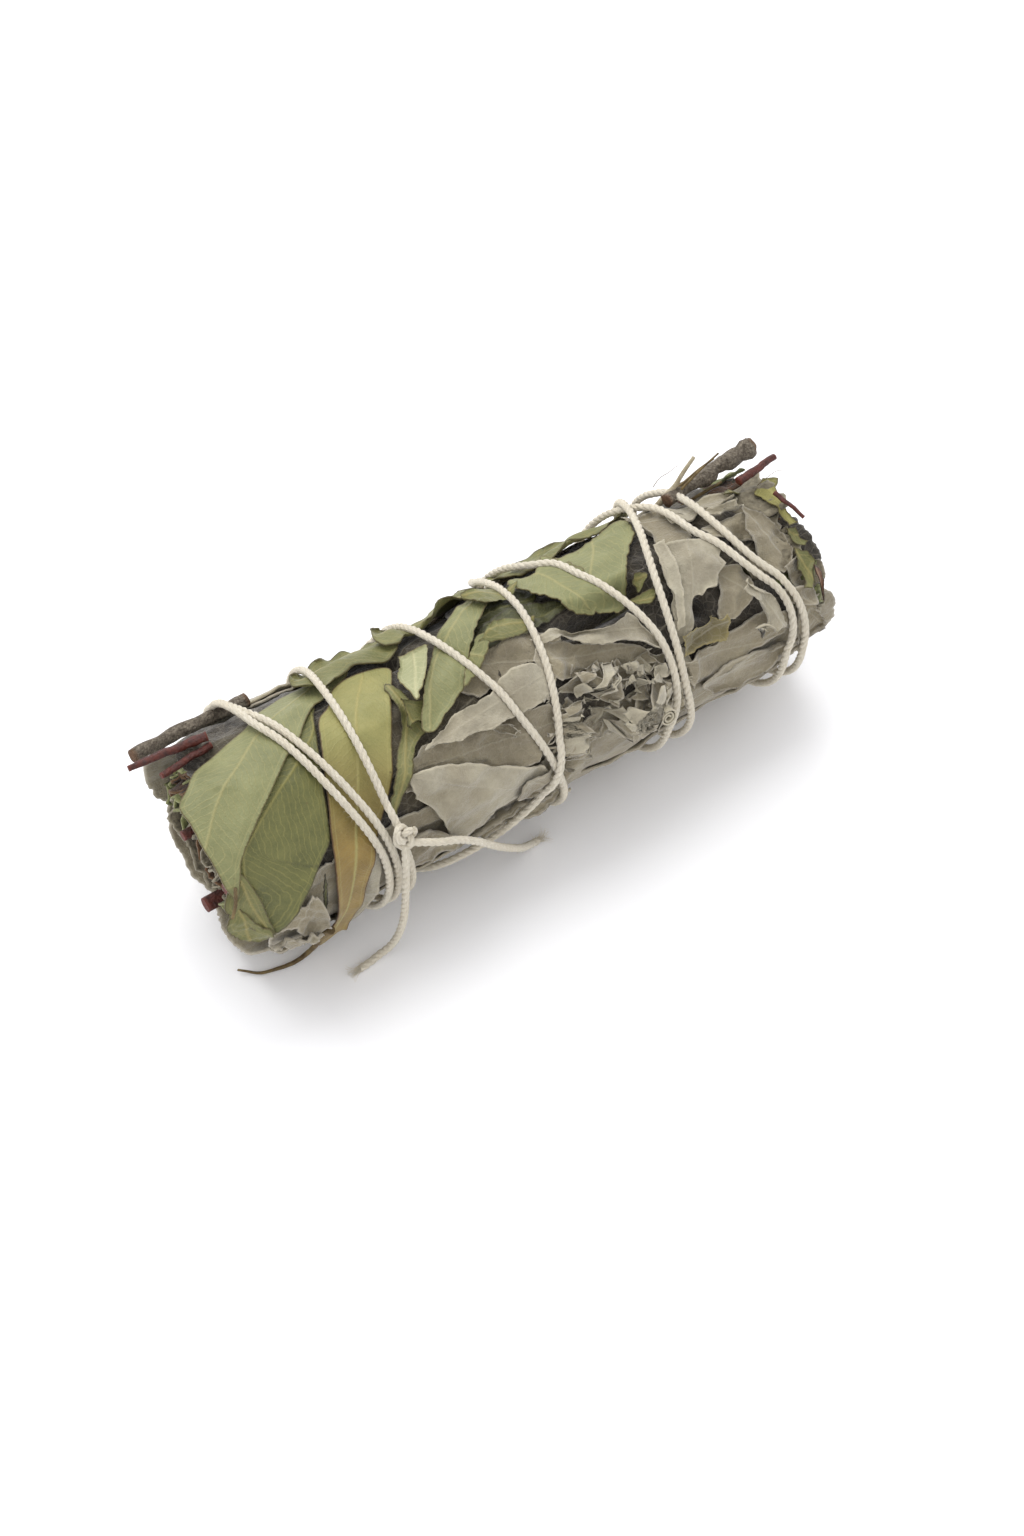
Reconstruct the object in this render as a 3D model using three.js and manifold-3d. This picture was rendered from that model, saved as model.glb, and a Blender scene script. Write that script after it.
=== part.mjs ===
// A dried bunch of white sage and eucalyptus, packed lengthwise and tied round with cotton string.
// The bunch lies along X on the plane z = 0. Millimetres, +Z up, origin under the middle of the bunch.
import * as THREE from 'three';
import { mergeVertices } from 'three/addons/utils/BufferGeometryUtils.js';
import Module from 'manifold-3d';

const wasm = await Module();
wasm.setup();

// The round bundle: its leaf surface is a little wider at the left end than at the right.
const BUNCH_RADIUS = 17.0;
const LEFT_SWELL = 1.6;
const RIGHT_TAPER = 0.5;
const SWELL_START = -7;
const SWELL_LENGTH = 45;
const TAPER_START = 18;
const TAPER_LENGTH = 35;
const AXIS_CLEARANCE = 1.9;

// The packed inside, measured in from the leaf surface.
const PACK_DEPTH = 3.9;
const PACK_HALF_LENGTH = 49;
const ROLL_PITCH = 8.4;
const ROLL_RADIUS = 3.7;
const ROLL_WALL = 0.8;
const ROLL_START_RADIUS = 1.5;
const ROLL_TURNS = 1.55;
// No two rolls match: each starts its spiral further round, and their ends stand uneven by this much.
const ROLL_TURN_STEP = 0.37;
const ROLL_END_SCATTER = 1.0;
const STEM_TAPER = 0.9;
const STEM_END_STEP = 0.8;
const STEM_SIDES = 10;

const LEAF_THICKNESS = 0.5;
const LEAF_GAP = 0.35;
// How far apart a leaf's corners may lie before it bridges what is between them, as a share of their step.
const LEAF_BRIDGE = 0.75;
// A lens-shaped leaf: how full and how far along its belly is, and how wide its tip stays.
const BELLY_FULLNESS = 0.7;
const BELLY_SHIFT = 0.85;
const TIP_SHARE = 0.08;
// How much a blunt strip narrows towards its ends.
const BLUNT_NARROWING = 0.3;
// How far an underside leaf swells past the plane it lies on before it is pressed flat, and how steeply.
const PAD_SQUEEZE = 0.6;
const PAD_EDGE_SLOPE = 4.4;
const WRAP_SIDE_GAP = 6;
const WRAP_MIDDLE_GAP = 0.5;

const TWIG_TAPER = 0.85;
const TWIG_SIDES = 10;

const STRING_DIAMETER = 1.2;
const STRING_SIDES = 8;
const STRING_STEP = 5.0;
const TOUCH_GAP = 0.3;
const STRING_DEPTH = 0.55;
// The string is stiff: over this many quarter steps it bridges dips, and keeps most of each hump's height.
const STRING_WINDOW = 5;
// The string rests on what lies under its middle, over this share of its radius.
const STRING_FOOT = 0.85;
const STRING_HUMP_SHARE = 0.75;
// A turn counts as something to cross only once the string is this many quarter steps past it.
const CROSSING_LAG = 10;
const SAMPLES_PER_STEP = 4;

const COLOURS = {
  eucalyptus: 0x8e9a6c,
  eucalyptusYellow: 0x9a8f4e,
  sage: 0x9b9485,
  sageRoll: 0x7d7768,
  bark: 0x6e6558,
  redStem: 0x5b2a22,
  string: 0xd9cfba,
};

const DEGREE = Math.PI / 180;

// Angles round the bundle start at the top and turn towards the front (-Y).
function bundleRadius(x) {
  const swell = THREE.MathUtils.smoothstep(-x, -SWELL_START, -SWELL_START + SWELL_LENGTH);
  const taper = THREE.MathUtils.smoothstep(x, TAPER_START, TAPER_START + TAPER_LENGTH);
  return BUNCH_RADIUS + LEFT_SWELL * swell - RIGHT_TAPER * taper;
}

function axisHeight(x) {
  return bundleRadius(x) + AXIS_CLEARANCE;
}

function onBundle(x, angle, depth) {
  const radius = bundleRadius(x) + depth;
  const turn = angle * DEGREE;
  return new THREE.Vector3(x, -radius * Math.sin(turn), axisHeight(x) + radius * Math.cos(turn));
}

// The height of what has been laid on the bundle so far, on a grid round and along it.
const PILE_STEP = 0.5;
const PILE_START = -64;
const PILE_COLUMNS = 256;
const PILE_ROWS = 240;
const MARK_REACH = 0.8 * PILE_STEP;

class Pile {
  constructor() {
    this.depth = new Float32Array(PILE_COLUMNS * PILE_ROWS).fill(-PACK_DEPTH);
  }

  cell(column, row) {
    const wrapped = ((row % PILE_ROWS) + PILE_ROWS) % PILE_ROWS;
    return THREE.MathUtils.clamp(column, 0, PILE_COLUMNS - 1) * PILE_ROWS + wrapped;
  }

  // The highest depth within a reach of a point.
  top(x, angle, reach) {
    const rowStep = (2 * Math.PI * bundleRadius(x)) / PILE_ROWS;
    const column = Math.round((x - PILE_START) / PILE_STEP);
    const row = Math.round((angle / 360) * PILE_ROWS);
    const columns = Math.ceil(reach / PILE_STEP);
    const rows = Math.ceil(reach / rowStep);
    let highest = -PACK_DEPTH;
    for (let i = -columns; i <= columns; i += 1) {
      for (let j = -rows; j <= rows; j += 1) {
        if (Math.hypot(i * PILE_STEP, j * rowStep) <= reach + PILE_STEP / 2) {
          highest = Math.max(highest, this.depth[this.cell(column + i, row + j)]);
        }
      }
    }
    return highest;
  }

  raise(x, angle, depth, reach) {
    const rowStep = (2 * Math.PI * bundleRadius(x)) / PILE_ROWS;
    const column = Math.round((x - PILE_START) / PILE_STEP);
    const row = Math.round((angle / 360) * PILE_ROWS);
    const columns = Math.ceil(reach / PILE_STEP);
    const rows = Math.ceil(reach / rowStep);
    for (let i = -columns; i <= columns; i += 1) {
      for (let j = -rows; j <= rows; j += 1) {
        if (Math.hypot(i * PILE_STEP, j * rowStep) <= reach) {
          const at = this.cell(column + i, row + j);
          this.depth[at] = Math.max(this.depth[at], depth);
        }
      }
    }
  }
}

const pile = new Pile();
const bunch = new THREE.Group();

function addMesh(name, geometry, colour, roughness) {
  const material = new THREE.MeshStandardMaterial({ color: colour, roughness, metalness: 0 });
  const mesh = new THREE.Mesh(geometry, material);
  mesh.name = name;
  bunch.add(mesh);
  return mesh;
}

function closed(geometry) {
  geometry.deleteAttribute('normal');
  geometry.deleteAttribute('uv');
  const merged = mergeVertices(geometry, 1e-4);
  merged.computeVertexNormals();
  return merged;
}

// A leaf rolled up lengthwise: a spiral wall, drawn in its cross-section and pulled out along X.
function rolledLeaf(length, startTurn) {
  const corners = 20;
  const outer = [];
  const inner = [];
  for (let i = 0; i <= corners; i += 1) {
    const share = i / corners;
    const turn = (startTurn + share * ROLL_TURNS) * 2 * Math.PI;
    const radius = THREE.MathUtils.lerp(ROLL_START_RADIUS, ROLL_RADIUS, share);
    const direction = new THREE.Vector2(Math.cos(turn), Math.sin(turn));
    outer.push(direction.clone().multiplyScalar(radius));
    inner.push(direction.clone().multiplyScalar(radius - ROLL_WALL));
  }
  const shape = new THREE.Shape(outer.concat(inner.reverse()));
  const geometry = new THREE.ExtrudeGeometry(shape, { depth: length, steps: 1, bevelEnabled: false });
  geometry.translate(0, 0, -length / 2);
  geometry.rotateY(Math.PI / 2);
  return closed(geometry);
}

const PACK_AXIS_HEIGHT = BUNCH_RADIUS + AXIS_CLEARANCE;

function addInnerRolls() {
  const places = [[0, 0]];
  for (let i = 0; i < 6; i += 1) {
    places.push([ROLL_PITCH * Math.cos(i * 60 * DEGREE), ROLL_PITCH * Math.sin(i * 60 * DEGREE)]);
  }
  places.forEach(([y, z], index) => {
    const leftEnd = -PACK_HALF_LENGTH - ROLL_END_SCATTER * Math.sin(2 * index);
    const rightEnd = PACK_HALF_LENGTH - ROLL_END_SCATTER * Math.cos(3 * index);
    const geometry = rolledLeaf(rightEnd - leftEnd, index * ROLL_TURN_STEP);
    const roll = addMesh(`rolled_inner_leaf_${index + 1}`, geometry, COLOURS.sageRoll, 0.9);
    roll.position.set((leftEnd + rightEnd) / 2, y, PACK_AXIS_HEIGHT + z);
  });
}

// Woody stems lie in the valleys between the rolls, and their cut ends show at the left.
// Each is [angle round the pack, distance from its axis, radius, left end].
const INNER_STEMS = [
  [30, 4.85, 0.8, -52.5],
  [150, 4.85, 0.8, -51.5],
  [150, 11.1, 1.35, -53],
  [210, 11.1, 1.45, -52],
  [270, 11.1, 1.2, -51.5],
];

function addInnerStems() {
  INNER_STEMS.forEach(([angle, distance, radius, leftEnd], index) => {
    const rightEnd = PACK_HALF_LENGTH - ROLL_END_SCATTER + STEM_END_STEP * index;
    const length = rightEnd - leftEnd;
    const geometry = closed(new THREE.CylinderGeometry(radius, radius * STEM_TAPER, length, STEM_SIDES));
    const stem = addMesh(`inner_stem_${index + 1}`, geometry, COLOURS.redStem, 0.75);
    const y = distance * Math.cos(angle * DEGREE);
    const z = PACK_AXIS_HEIGHT + distance * Math.sin(angle * DEGREE);
    stem.rotation.z = Math.PI / 2;
    stem.position.set((leftEnd + rightEnd) / 2, y, z);
  });
}

// A stiff twig lies straight on the bundle between two of its points.
function addTwig(name, start, end, radius, lift, colour) {
  const reach = radius + TOUCH_GAP;
  const rise = Math.max(pile.top(start[0], start[1], reach), pile.top(end[0], end[1], reach));
  const depth = rise + LEAF_GAP + radius + lift;
  const from = onBundle(start[0], start[1], depth);
  const to = onBundle(end[0], end[1], depth);
  const length = from.distanceTo(to);
  const geometry = closed(new THREE.CylinderGeometry(radius * TWIG_TAPER, radius, length, TWIG_SIDES, 3));
  const twig = addMesh(name, geometry, colour, 0.85);
  twig.position.copy(from).add(to).multiplyScalar(0.5);
  twig.quaternion.setFromUnitVectors(new THREE.Vector3(0, 1, 0), to.clone().sub(from).normalize());
  const marks = Math.ceil(length / PILE_STEP);
  for (let i = 0; i <= marks; i += 1) {
    const x = THREE.MathUtils.lerp(start[0], end[0], i / marks);
    const angle = THREE.MathUtils.lerp(start[1], end[1], i / marks);
    pile.raise(x, angle, depth + radius, radius + TOUCH_GAP);
  }
}

// A leaf's half width along its length: a lens with a drawn-out tip, or a blunt strip.
function leafHalfWidth(share, width, blunt) {
  if (blunt) {
    return (width / 2) * (1 - BLUNT_NARROWING * Math.abs(2 * share - 1) ** 4);
  }
  return (width / 2) * Math.max(TIP_SHARE, Math.sin(Math.PI * share ** BELLY_SHIFT) ** BELLY_FULLNESS);
}

// A box's back face is split along the other diagonals than its front. A leaf's two faces are split alike,
// so that they stay a leaf's thickness apart where it bends.
function splitBackLikeFront(geometry) {
  const { start, count } = geometry.groups[5];
  const { index } = geometry;
  for (let n = start; n < start + count; n += 6) {
    const [a, b, d] = [index.getX(n), index.getX(n + 1), index.getX(n + 2)];
    const c = index.getX(n + 4);
    [a, b, c, a, c, d].forEach((corner, k) => index.setX(n + k, corner));
  }
}

// A leaf is laid over whatever is already on the bundle, and follows it with a small gap.
// Its base and tip are [x, angle] on the bundle. A pad swells down to a flat patch on z = 0.
function addLeaf(name, base, tip, width, colour, [along, across], { blunt = false, pad = false } = {}) {
  const arc = bundleRadius((base[0] + tip[0]) / 2) * DEGREE;
  const direction = new THREE.Vector2(tip[0] - base[0], (tip[1] - base[1]) * arc);
  const length = direction.length();
  direction.normalize();
  const reach = Math.hypot(length / along, width / across) * LEAF_BRIDGE;
  const place = (u, v) => {
    const half = leafHalfWidth(u, width, blunt);
    const x = base[0] + direction.x * length * u + direction.y * v * 2 * half;
    const angle = base[1] + (direction.y * length * u - direction.x * v * 2 * half) / arc;
    return { x, angle };
  };

  const inner = [];
  const outer = [];
  for (let i = 0; i <= along; i += 1) {
    inner.push([]);
    outer.push([]);
    for (let j = 0; j <= across; j += 1) {
      const u = i / along;
      const v = j / across - 0.5;
      const { x, angle } = place(u, v);
      const depth = pile.top(x, angle, reach) + LEAF_GAP;
      const swell = pad ? Math.min(1, PAD_EDGE_SLOPE * Math.min(u, 1 - u, 0.5 - Math.abs(v))) : 0;
      inner[i].push(depth);
      outer[i].push(THREE.MathUtils.lerp(depth + LEAF_THICKNESS, AXIS_CLEARANCE + PAD_SQUEEZE, swell));
    }
  }

  const geometry = new THREE.BoxGeometry(1, 1, 1, along, across, 1);
  splitBackLikeFront(geometry);
  const position = geometry.attributes.position;
  for (let n = 0; n < position.count; n += 1) {
    const u = position.getX(n) + 0.5;
    const v = position.getY(n);
    const side = position.getZ(n) > 0 ? outer : inner;
    const { x, angle } = place(u, v);
    const point = onBundle(x, angle, side[Math.round(u * along)][Math.round((v + 0.5) * across)]);
    position.setXYZ(n, point.x, point.y, Math.max(0, point.z));
  }

  const marksAlong = Math.ceil(length / PILE_STEP);
  const marksAcross = Math.ceil(width / PILE_STEP);
  for (let i = 0; i <= marksAlong; i += 1) {
    for (let j = 0; j <= marksAcross; j += 1) {
      const u = i / marksAlong;
      const v = j / marksAcross;
      const near = outer[Math.floor(u * along)];
      const far = outer[Math.ceil(u * along)];
      const left = Math.floor(v * across);
      const right = Math.ceil(v * across);
      const { x, angle } = place(u, v - 0.5);
      pile.raise(x, angle, Math.max(near[left], near[right], far[left], far[right]), MARK_REACH);
    }
  }
  return addMesh(name, closed(geometry), colour, 0.8);
}

function addLeaves(prefix, list, colour) {
  list.forEach(([base, tip, width, divisions], index) => {
    addLeaf(`${prefix}_${index + 1}`, base, tip, width, colour, divisions);
  });
}

addInnerRolls();
addInnerStems();

// The first wrap of sage leaves, laid lengthwise round the packed inside in two rows.
// The wrap is left open near the top, where the bark twig lies in it.
const WRAP_EDGES = [-43, 8, 68, 128, 188, 248, 300];

function addFirstWrap() {
  const columns = WRAP_EDGES.length - 1;
  for (let row = 0; row < 2; row += 1) {
    for (let column = 0; column < columns; column += 1) {
      const middle = (WRAP_EDGES[column] + WRAP_EDGES[column + 1]) / 2;
      const width = (WRAP_EDGES[column + 1] - WRAP_EDGES[column] - WRAP_SIDE_GAP) * DEGREE * BUNCH_RADIUS;
      const start = row === 0 ? -50 - (column % 2) : WRAP_MIDDLE_GAP;
      const end = row === 0 ? -WRAP_MIDDLE_GAP : 50 + (column % 3);
      const name = `wrap_sage_leaf_${row * columns + column + 1}`;
      addLeaf(name, [start, middle], [end, middle], width, COLOURS.sage, [8, 4], { blunt: true });
    }
  }
}
addFirstWrap();

addTwig('grey_bark_twig_left', [-55.5, -50], [-36, -48], 1.1, 1.9, COLOURS.bark);
addTwig('red_stem_left', [-56.8, -33], [-46, -27], 0.65, 0.1, COLOURS.redStem);

addTwig('rough_grey_twig_right', [37, -29], [56.3, -42], 1.3, 0, COLOURS.bark);
addTwig('red_twig_right', [47, -20], [53.6, -16], 0.75, 0.2, COLOURS.redStem);

// Eucalyptus leaves: broad ones at the left end, a long narrow one beside the knot, torn ones on top.
addLeaf('eucalyptus_leaf_left_dark', [-27, -10], [-45, 88], 13, COLOURS.eucalyptus, [9, 4]);
addLeaf('eucalyptus_leaf_left_broad', [-32, -34], [-51, 74], 18, COLOURS.eucalyptus, [9, 5]);
addLeaf('eucalyptus_leaf_long_yellow', [-18, -24], [-45, 120], 11, COLOURS.eucalyptusYellow, [11, 3]);
addLeaves('torn_eucalyptus_leaf', [
  [[-8, -18], [-21, 30], 9, [6, 3]],
  [[-10, -32], [-17, 12], 6, [6, 3]],
  [[21, -56], [16, 22], 19, [8, 4]],
  [[-22, -50], [-4, -44], 7, [6, 3]],
  [[-2, -52], [12, -48], 7, [6, 3]],
  [[52.6, -30], [52.4, 46], 5, [7, 3]],
], COLOURS.eucalyptus);

// White sage leaves, creased and overlapping along the front.
addLeaves('front_sage_leaf', [
  [[-24, 62], [0, 94], 17, [7, 4]],
  [[-19, 42], [2, 24], 10, [6, 3]],
  [[4, 20], [22, 50], 9, [6, 3]],
  [[27, 52], [41, 8], 13, [6, 4]],
  [[4, 46], [19, 62], 10, [5, 3]],
  [[7, 78], [21, 72], 9, [5, 3]],
  [[-5, 58], [6, 72], 8, [5, 3]],
  [[38, 25], [44, 60], 8, [6, 4]],
  [[44, 66], [51, 96], 8, [5, 3]],
  [[34, -24], [46, 2], 11, [5, 3]],
  [[-50, 92], [-37, 100], 7, [5, 3]],
  [[24, 92], [43, 108], 11, [6, 3]],
], COLOURS.sage);

// Folded sage leaves under the bunch, pressed flat where it lies, between the turns of the string.
const UNDERSIDE_PADS = [[-46, -36.2], [-22, -1.8], [3.8, 16], [25.4, 37]];
UNDERSIDE_PADS.forEach(([start, end], index) => {
  const name = `underside_sage_leaf_${index + 1}`;
  addLeaf(name, [start, 180], [end, 180], 16, COLOURS.sage, [8, 6], { blunt: true, pad: true });
});

// Sage leaves on the back, which the string crosses.
addLeaves('back_sage_leaf', [
  [[-44, -80], [-12, -96], 15, [7, 4]],
  [[-6, -100], [24, -84], 15, [7, 4]],
  [[22, -118], [47, -92], 14, [7, 4]],
], COLOURS.sage);

// The string's route, [x, angle] by hand: nine turns that start and end at the knot.
const STRING_ROUTE = [
  [-28.6, 72], [-27.8, 95], [-27.4, 120], [-27.2, 150], [-27.2, 190], [-28.0, 218], [-32.5, 255],
  [-38.2, 292], [-39.9, 318], [-39.2, 335], [-37.6, 350], [-36.2, 366], [-34.8, 381], [-33.4, 396],
  [-32.0, 411], [-30.9, 426], [-30.3, 445], [-30.3, 475], [-30.4, 510], [-30.4, 550], [-31.0, 577],
  [-36.5, 615], [-40.6, 650], [-40.6, 685], [-39.6, 706], [-38.3, 720], [-37.1, 735], [-35.9, 750],
  [-34.5, 765], [-33.1, 780], [-32.2, 794], [-31.9, 815], [-32.2, 840], [-32.8, 870], [-33.5, 910],
  [-33.9, 936], [-20.0, 980], [-11.6, 1010], [-10.3, 1030], [-9.6, 1047], [-9.0, 1062], [-7.8, 1080],
  [-6.4, 1096], [-5.2, 1109], [-4.2, 1124], [-2.8, 1140], [-1.7, 1154], [-0.6, 1170], [0.2, 1185],
  [0.8, 1230], [1.2, 1270], [4.5, 1320], [8.0, 1370], [11.4, 1404], [14.4, 1416], [15.9, 1432],
  [17.0, 1440], [18.6, 1454], [20.0, 1468], [21.0, 1482], [21.2, 1496], [21.0, 1508], [20.6, 1518],
  [19.9, 1528], [19.0, 1537], [18.6, 1570], [18.8, 1620], [19.4, 1655], [23.5, 1690], [28.0, 1730],
  [31.0, 1757], [33.4, 1772], [34.2, 1785], [34.6, 1794], [35.2, 1802], [36.9, 1812], [38.6, 1826],
  [40.4, 1838], [41.9, 1846], [42.8, 1856], [43.0, 1867], [42.4, 1878], [41.2, 1888], [40.8, 1905],
  [40.6, 1930], [40.2, 1980], [39.8, 2014], [38.0, 2050], [36.2, 2090], [36.8, 2112], [37.8, 2124],
  [38.1, 2140], [38.5, 2158], [39.2, 2172], [40.3, 2185], [41.6, 2194], [42.9, 2201], [43.9, 2209],
  [44.6, 2217], [45.0, 2228], [44.9, 2240], [44.4, 2254], [44.4, 2290], [44.2, 2340], [43.4, 2374],
  [37.6, 2420], [32.6, 2450], [30.9, 2478], [29.8, 2493], [28.3, 2507], [26.7, 2520], [25.2, 2534],
  [24.0, 2549], [23.2, 2564], [22.7, 2580], [22.6, 2592], [22.9, 2604], [23.3, 2620], [23.2, 2650],
  [22.8, 2700], [22.0, 2734], [14.0, 2770], [6.4, 2810], [5.2, 2834], [5.2, 2854], [4.9, 2874],
  [4.0, 2892], [3.1, 2906], [2.0, 2920], [0.8, 2935], [-0.6, 2950], [-2.2, 2962], [-4.4, 2972],
  [-8.5, 2984], [-14.0, 2998], [-20.0, 3014], [-24.0, 3040], [-25.2, 3080], [-26.0, 3130],
  [-26.4, 3180], [-26.8, 3204], [-27.5, 3220], [-28.2, 3240], [-28.8, 3262], [-29.1, 3280],
  [-29.1, 3295],
];

// The knot, and its two free ends, which hang down the front and end on the table.
const KNOT_X = -29.0;
const KNOT_ANGLE = 63.5;
const KNOT_DEPTH = 2.8;
const KNOT_LOOP_RADIUS = 1.15;
const KNOT_CORE_RADIUS = 1.2;
const RIGHT_TAIL = [
  [-26.9, -19.5, 26.9], [-24.0, -20.0, 25.2], [-21.0, -20.2, 23.5], [-18.0, -20.2, 20.7],
  [-14.9, -19.8, 16.6], [-11.2, -18.6, 11.3], [-7.6, -17.0, 6.3], [-5.4, -15.4, 3.0],
  [-3.6, -14.5, 1.2], [-1.7, -14.3, 0.75],
];
const DOWN_TAIL = [
  [-29.8, -19.8, 26.4], [-30.1, -20.2, 24.4], [-30.3, -20.5, 22.0], [-30.6, -20.7, 18.3],
  [-30.8, -20.7, 14.6], [-31.0, -20.2, 9.9], [-31.6, -19.6, 6.0], [-32.6, -18.7, 2.6],
  [-33.8, -18.1, 1.0], [-35.8, -18.3, 0.7], [-38.8, -18.6, 0.7],
];

// The route is smoothed on the unrolled bundle, where a degree is this many millimetres.
const UNROLLED_DEGREE = 0.3;

function routeCurve() {
  const points = STRING_ROUTE.map(([x, angle]) => new THREE.Vector3(x, angle * UNROLLED_DEGREE, 0));
  return new THREE.CatmullRomCurve3(points, false, 'centripetal');
}

// The string is pulled tight: it bridges the dips and humps over what it crosses.
function stringPoints() {
  const flat = routeCurve();
  const count = Math.round((SAMPLES_PER_STEP * flat.getLength()) / STRING_STEP);
  const route = flat.getSpacedPoints(count).map((p) => ({ x: p.x, angle: p.y / UNROLLED_DEGREE }));
  const radius = STRING_DIAMETER / 2;
  const foot = STRING_FOOT * radius;
  const needs = [];
  route.forEach((spot, index) => {
    needs.push(Math.max(STRING_DEPTH, pile.top(spot.x, spot.angle, foot) + TOUCH_GAP + radius));
    if (index >= CROSSING_LAG) {
      const behind = route[index - CROSSING_LAG];
      pile.raise(behind.x, behind.angle, needs[index - CROSSING_LAG] + radius, radius);
    }
  });
  const points = [];
  for (let index = 0; index < route.length; index += SAMPLES_PER_STEP) {
    const around = needs.slice(Math.max(0, index - STRING_WINDOW), index + STRING_WINDOW + 1);
    const mean = around.reduce((sum, need) => sum + need, 0) / around.length;
    const depth = THREE.MathUtils.lerp(mean, Math.max(...around), STRING_HUMP_SHARE);
    points.push(onBundle(route[index].x, route[index].angle, depth));
  }
  return points;
}

function cord(points, diameter, sides, steps) {
  const section = new THREE.Shape();
  for (let i = 0; i < sides; i += 1) {
    const turn = (i / sides) * 2 * Math.PI;
    const corner = [(diameter / 2) * Math.cos(turn), (diameter / 2) * Math.sin(turn)];
    if (i === 0) {
      section.moveTo(...corner);
    } else {
      section.lineTo(...corner);
    }
  }
  section.closePath();
  const path = new THREE.CatmullRomCurve3(points);
  return new THREE.ExtrudeGeometry(section, { steps, extrudePath: path, bevelEnabled: false });
}

const wrapPoints = stringPoints();
const wraps = cord(wrapPoints, STRING_DIAMETER, STRING_SIDES, wrapPoints.length - 1);
addMesh('string_wraps', closed(wraps), COLOURS.string, 0.95);

// The knot is two tight loops of the string through each other, drawn into one lump.
function solid(geometry) {
  const source = closed(geometry);
  return new wasm.Manifold(new wasm.Mesh({
    numProp: 3,
    vertProperties: new Float32Array(source.attributes.position.array),
    triVerts: new Uint32Array(source.index.array),
  }));
}

function knotGeometry() {
  const tube = STRING_DIAMETER / 2;
  const first = new THREE.TorusGeometry(KNOT_LOOP_RADIUS, tube, 8, 14);
  const second = new THREE.TorusGeometry(KNOT_LOOP_RADIUS, tube, 8, 14);
  second.rotateX(Math.PI / 2);
  const core = new THREE.IcosahedronGeometry(KNOT_CORE_RADIUS, 1);
  const joined = solid(first).add(solid(second)).add(solid(core)).getMesh();
  const geometry = new THREE.BufferGeometry();
  geometry.setAttribute('position', new THREE.BufferAttribute(joined.vertProperties, 3));
  geometry.setIndex(new THREE.BufferAttribute(joined.triVerts, 1));
  geometry.computeVertexNormals();
  return geometry;
}

const knot = addMesh('string_knot', knotGeometry(), COLOURS.string, 0.95);
knot.position.copy(onBundle(KNOT_X, KNOT_ANGLE, KNOT_DEPTH));
knot.rotation.x = (90 - KNOT_ANGLE) * DEGREE;

function addTail(name, route) {
  const points = route.map((place) => new THREE.Vector3(...place));
  const steps = 2 * (route.length - 1);
  const tail = closed(cord(points, STRING_DIAMETER, STRING_SIDES, steps));
  addMesh(name, tail, COLOURS.string, 0.95);
}
addTail('string_tail_right', RIGHT_TAIL);
addTail('string_tail_down', DOWN_TAIL);

export default bunch;
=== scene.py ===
"""A dried bunch of white sage and eucalyptus, tied round with cotton string and laid on a pale table."""

import math

import bpy
import numpy as np
from mathutils import Matrix, Vector
from mathutils.geometry import delaunay_2d_cdt


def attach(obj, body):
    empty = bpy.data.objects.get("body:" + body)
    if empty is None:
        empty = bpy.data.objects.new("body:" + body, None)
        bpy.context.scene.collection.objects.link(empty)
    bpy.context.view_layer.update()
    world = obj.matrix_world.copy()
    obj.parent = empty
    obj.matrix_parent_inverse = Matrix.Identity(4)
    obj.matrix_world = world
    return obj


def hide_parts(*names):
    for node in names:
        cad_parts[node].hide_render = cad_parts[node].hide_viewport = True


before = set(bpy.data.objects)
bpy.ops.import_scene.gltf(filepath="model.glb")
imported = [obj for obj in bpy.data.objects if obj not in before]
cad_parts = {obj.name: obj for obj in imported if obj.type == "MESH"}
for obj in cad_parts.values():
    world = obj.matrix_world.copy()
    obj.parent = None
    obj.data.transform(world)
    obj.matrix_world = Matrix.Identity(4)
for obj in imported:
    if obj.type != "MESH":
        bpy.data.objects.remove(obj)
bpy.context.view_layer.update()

# The view
# The camera looks down on the bunch from the front left, so that its left end comes towards it.
# The eye is 600 mm from the point that the picture is framed on.
MM = 0.001
VIEW_TURN = math.radians(-34)
VIEW_RISE = math.radians(55)
EYE_DISTANCE = 600
BUNCH_MIDDLE = Vector((-2, 0, 18.9))
AIM_RIGHT = 3.485
AIM_UP = -9.242
LENS = 92.8

back = Vector((
    math.sin(VIEW_TURN) * math.cos(VIEW_RISE),
    -math.cos(VIEW_TURN) * math.cos(VIEW_RISE),
    math.sin(VIEW_RISE),
))
side = Vector((math.cos(VIEW_TURN), math.sin(VIEW_TURN), 0))
up = back.cross(side)
aim = BUNCH_MIDDLE + AIM_RIGHT * side + AIM_UP * up
camera = bpy.data.objects.new("camera", bpy.data.cameras.new("camera"))
camera.data.lens = LENS
camera.data.sensor_width = 36
camera.data.clip_start = 0.05
turned = Matrix((side, up, back)).transposed().to_4x4()
camera.matrix_world = Matrix.Translation((aim + EYE_DISTANCE * back) * MM) @ turned
bpy.context.scene.collection.objects.link(camera)
bpy.context.scene.camera = camera
bpy.context.scene.view_settings.view_transform = "Standard"


# The table and the light
# A plain white table under one large soft lamp, high up behind the bunch, in a bright white room.
# A weak second lamp lights the front from the left.
KEY_PLACE = (0.10, 0.70, 1.12)
KEY_SIZE = 1.3
KEY_POWER = 14.5
FILL_PLACE = (-0.75, -0.95, 0.9)
FILL_SIZE = 0.9
FILL_POWER = 0.8
ROOM_COLOUR = (0.98, 0.98, 1.0, 1)
ROOM_STRENGTH = 1.0
TABLE_HALF = 3.0


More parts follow.
